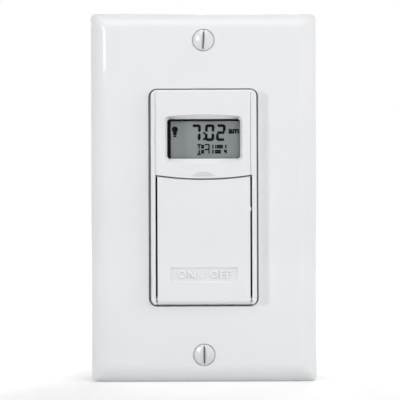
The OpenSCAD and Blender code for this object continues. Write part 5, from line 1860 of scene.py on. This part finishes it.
class StageOperator(bpy.types.Operator):
    """Set up the camera, the lamps, the floor and the white surroundings"""

    bl_idname = "timer_switch.stage"
    bl_label = "Stage"

    def execute(self, context):
        settings = context.scene.stage_settings
        self.camera(context, settings)
        self.floor(settings)
        self.surroundings(context, settings)
        for name, power, *numbers in LAMPS:
            self.lamp(name, getattr(settings, power), *numbers)
        context.scene.view_settings.view_transform = "Standard"
        return {"FINISHED"}

    def camera(self, context, settings):
        """Camera at the photograph's viewing angle."""
        select_only()
        bpy.ops.object.camera_add(
            location=settings.camera_place, rotation=(math.pi / 2, settings.roll, 0)
        )
        camera = bpy.context.object
        camera.data.lens = settings.lens
        camera.data.sensor_width = 36
        camera.data.clip_start = 0.01
        context.scene.camera = camera

    def lamp(self, name, power, azimuth, elevation, distance, sides, glossy, diffuse):
        """Soft lamp that points at the switch; azimuth is from the front towards the right."""
        a, e = math.radians(azimuth), math.radians(elevation)
        away = Vector((math.sin(a) * math.cos(e), -math.cos(a) * math.cos(e), math.sin(e)))
        select_only()
        bpy.ops.object.light_add(
            type="AREA",
            location=away * distance,
            rotation=away.to_track_quat("Z", "Y").to_euler(),
        )
        lamp = bpy.context.object
        lamp.name = name
        lamp.visible_camera = False
        lamp.visible_glossy = glossy
        lamp.visible_diffuse = diffuse
        lamp.data.shape = "RECTANGLE"
        lamp.data.size, lamp.data.size_y = sides
        lamp.data.energy = power

    def white_for_views(self, tree, plain, white):
        """Mix two shaders so that the camera, metal and glass see the second one."""
        path = tree.nodes.new("ShaderNodeLightPath")
        mix = tree.nodes.new("ShaderNodeMixShader")
        seen = path.outputs["Is Camera Ray"]
        for ray in ("Is Glossy Ray", "Is Transmission Ray"):
            both = tree.nodes.new("ShaderNodeMath")
            both.use_clamp = True
            tree.links.new(seen, both.inputs[0])
            tree.links.new(path.outputs[ray], both.inputs[1])
            seen = both.outputs[0]
        tree.links.new(seen, mix.inputs[0])
        tree.links.new(plain, mix.inputs[1])
        tree.links.new(white, mix.inputs[2])
        return mix.outputs[0]

    def floor(self, settings):
        """Pale floor that keeps the switch's shadow."""
        select_only()
        bpy.ops.mesh.primitive_plane_add(size=6, location=(0, 0, CAD_LOW.z - FLOOR_GAP))
        floor = settled("floor")
        material = bpy.data.materials.new("floor_white")
        material.use_nodes = True
        tree = material.node_tree
        shader = tree.nodes["Principled BSDF"]
        shader.inputs["Base Color"].default_value = (0.75, 0.75, 0.75, 1)
        shader.inputs["Roughness"].default_value = 0.9
        shader.inputs["Specular IOR Level"].default_value = 0.0
        glow = tree.nodes.new("ShaderNodeEmission")
        place = tree.nodes.new("ShaderNodeTexCoord")
        reach = tree.nodes.new("ShaderNodeVectorMath")
        reach.operation = "DISTANCE"
        reach.inputs[1].default_value = FLOOR_MIDDLE
        span = tree.nodes.new("ShaderNodeMapRange")
        span.inputs["From Max"].default_value = FLOOR_REACH
        rise = tree.nodes.new("ShaderNodeValToRGB")
        tree.links.new(place.outputs["Object"], reach.inputs[0])
        tree.links.new(reach.outputs["Value"], span.inputs["Value"])
        tree.links.new(span.outputs["Result"], rise.inputs[0])
        stops = rise.color_ramp.elements
        for distance, name in FLOOR_STOPS:
            level = getattr(settings, name)
            stops.new(distance / FLOOR_REACH).color = (level, level, level, 1)
        stops.remove(stops[0])
        stops[-1].color = (settings.floor_far, settings.floor_far, settings.floor_far, 1)
        tree.links.new(rise.outputs["Color"], glow.inputs["Strength"])
        both = tree.nodes.new("ShaderNodeAddShader")
        tree.links.new(shader.outputs[0], both.inputs[0])
        tree.links.new(glow.outputs[0], both.inputs[1])
        mixed = self.white_for_views(tree, shader.outputs[0], both.outputs[0])
        tree.links.new(mixed, tree.nodes["Material Output"].inputs["Surface"])
        floor.data.materials.append(material)

    def surroundings(self, context, settings):
        """Even light, stronger from the front than from behind; views and reflections see plain white."""
        world = bpy.data.worlds.new("surroundings")
        world.use_nodes = True
        context.scene.world = world
        tree = world.node_tree
        plain = tree.nodes["Background"]
        plain.inputs["Color"].default_value = (1, 1, 1, 1)
        place = tree.nodes.new("ShaderNodeTexCoord")
        facing = tree.nodes.new("ShaderNodeVectorMath")
        facing.operation = "DOT_PRODUCT"
        facing.inputs[1].default_value = Vector(settings.bright_side).normalized()
        span = tree.nodes.new("ShaderNodeMapRange")
        tree.links.new(place.outputs["Generated"], facing.inputs[0])
        tree.links.new(facing.outputs["Value"], span.inputs["Value"])
        span.inputs["From Min"].default_value = -LIGHT_BAND
        span.inputs["From Max"].default_value = LIGHT_BAND
        span.inputs["To Min"].default_value = settings.ambient_rear
        span.inputs["To Max"].default_value = settings.ambient
        tree.links.new(span.outputs["Result"], plain.inputs["Strength"])
        white = tree.nodes.new("ShaderNodeBackground")
        white.inputs["Color"].default_value = (1, 1, 1, 1)
        white.inputs["Strength"].default_value = 1.0
        mixed = self.white_for_views(tree, plain.outputs[0], white.outputs[0])
        tree.links.new(mixed, tree.nodes["World Output"].inputs["Surface"])


OPERATORS = (
    FinishesOperator,
    WallPlateOperator,
    PlateScrewsOperator,
    FrontBezelOperator,
    DoorOperator,
    KeypadOperator,
    DisplayOperator,
    StrapOperator,
    FlatScrewsOperator,
    HousingOperator,
    StageOperator,
)


class SwitchPanel(bpy.types.Panel):
    """Steps of the switch, in the order in which they are made"""

    bl_idname = "VIEW3D_PT_timer_switch"
    bl_label = "Timer light switch"
    bl_space_type = "VIEW_3D"
    bl_region_type = "UI"
    bl_category = "Timer Switch"

    def draw(self, context):
        for operator in OPERATORS:
            self.layout.operator(operator.bl_idname)


def register():
    """Register the classes and hang the settings on the scene."""
    for settings in SETTINGS.values():
        bpy.utils.register_class(settings)
    for name, settings in SETTINGS.items():
        setattr(bpy.types.Scene, name, bpy.props.PointerProperty(type=settings))
    for operator in OPERATORS:
        bpy.utils.register_class(operator)
    bpy.utils.register_class(SwitchPanel)


def unregister():
    """Take the classes and the settings away again."""
    bpy.utils.unregister_class(SwitchPanel)
    for operator in reversed(OPERATORS):
        bpy.utils.unregister_class(operator)
    for name in SETTINGS:
        delattr(bpy.types.Scene, name)
    for settings in SETTINGS.values():
        bpy.utils.unregister_class(settings)


def main():
    """Make every piece in order."""
    register()
    for operator in OPERATORS:
        group, name = operator.bl_idname.split(".")
        getattr(getattr(bpy.ops, group), name)()


if __name__ == "__main__":
    main()
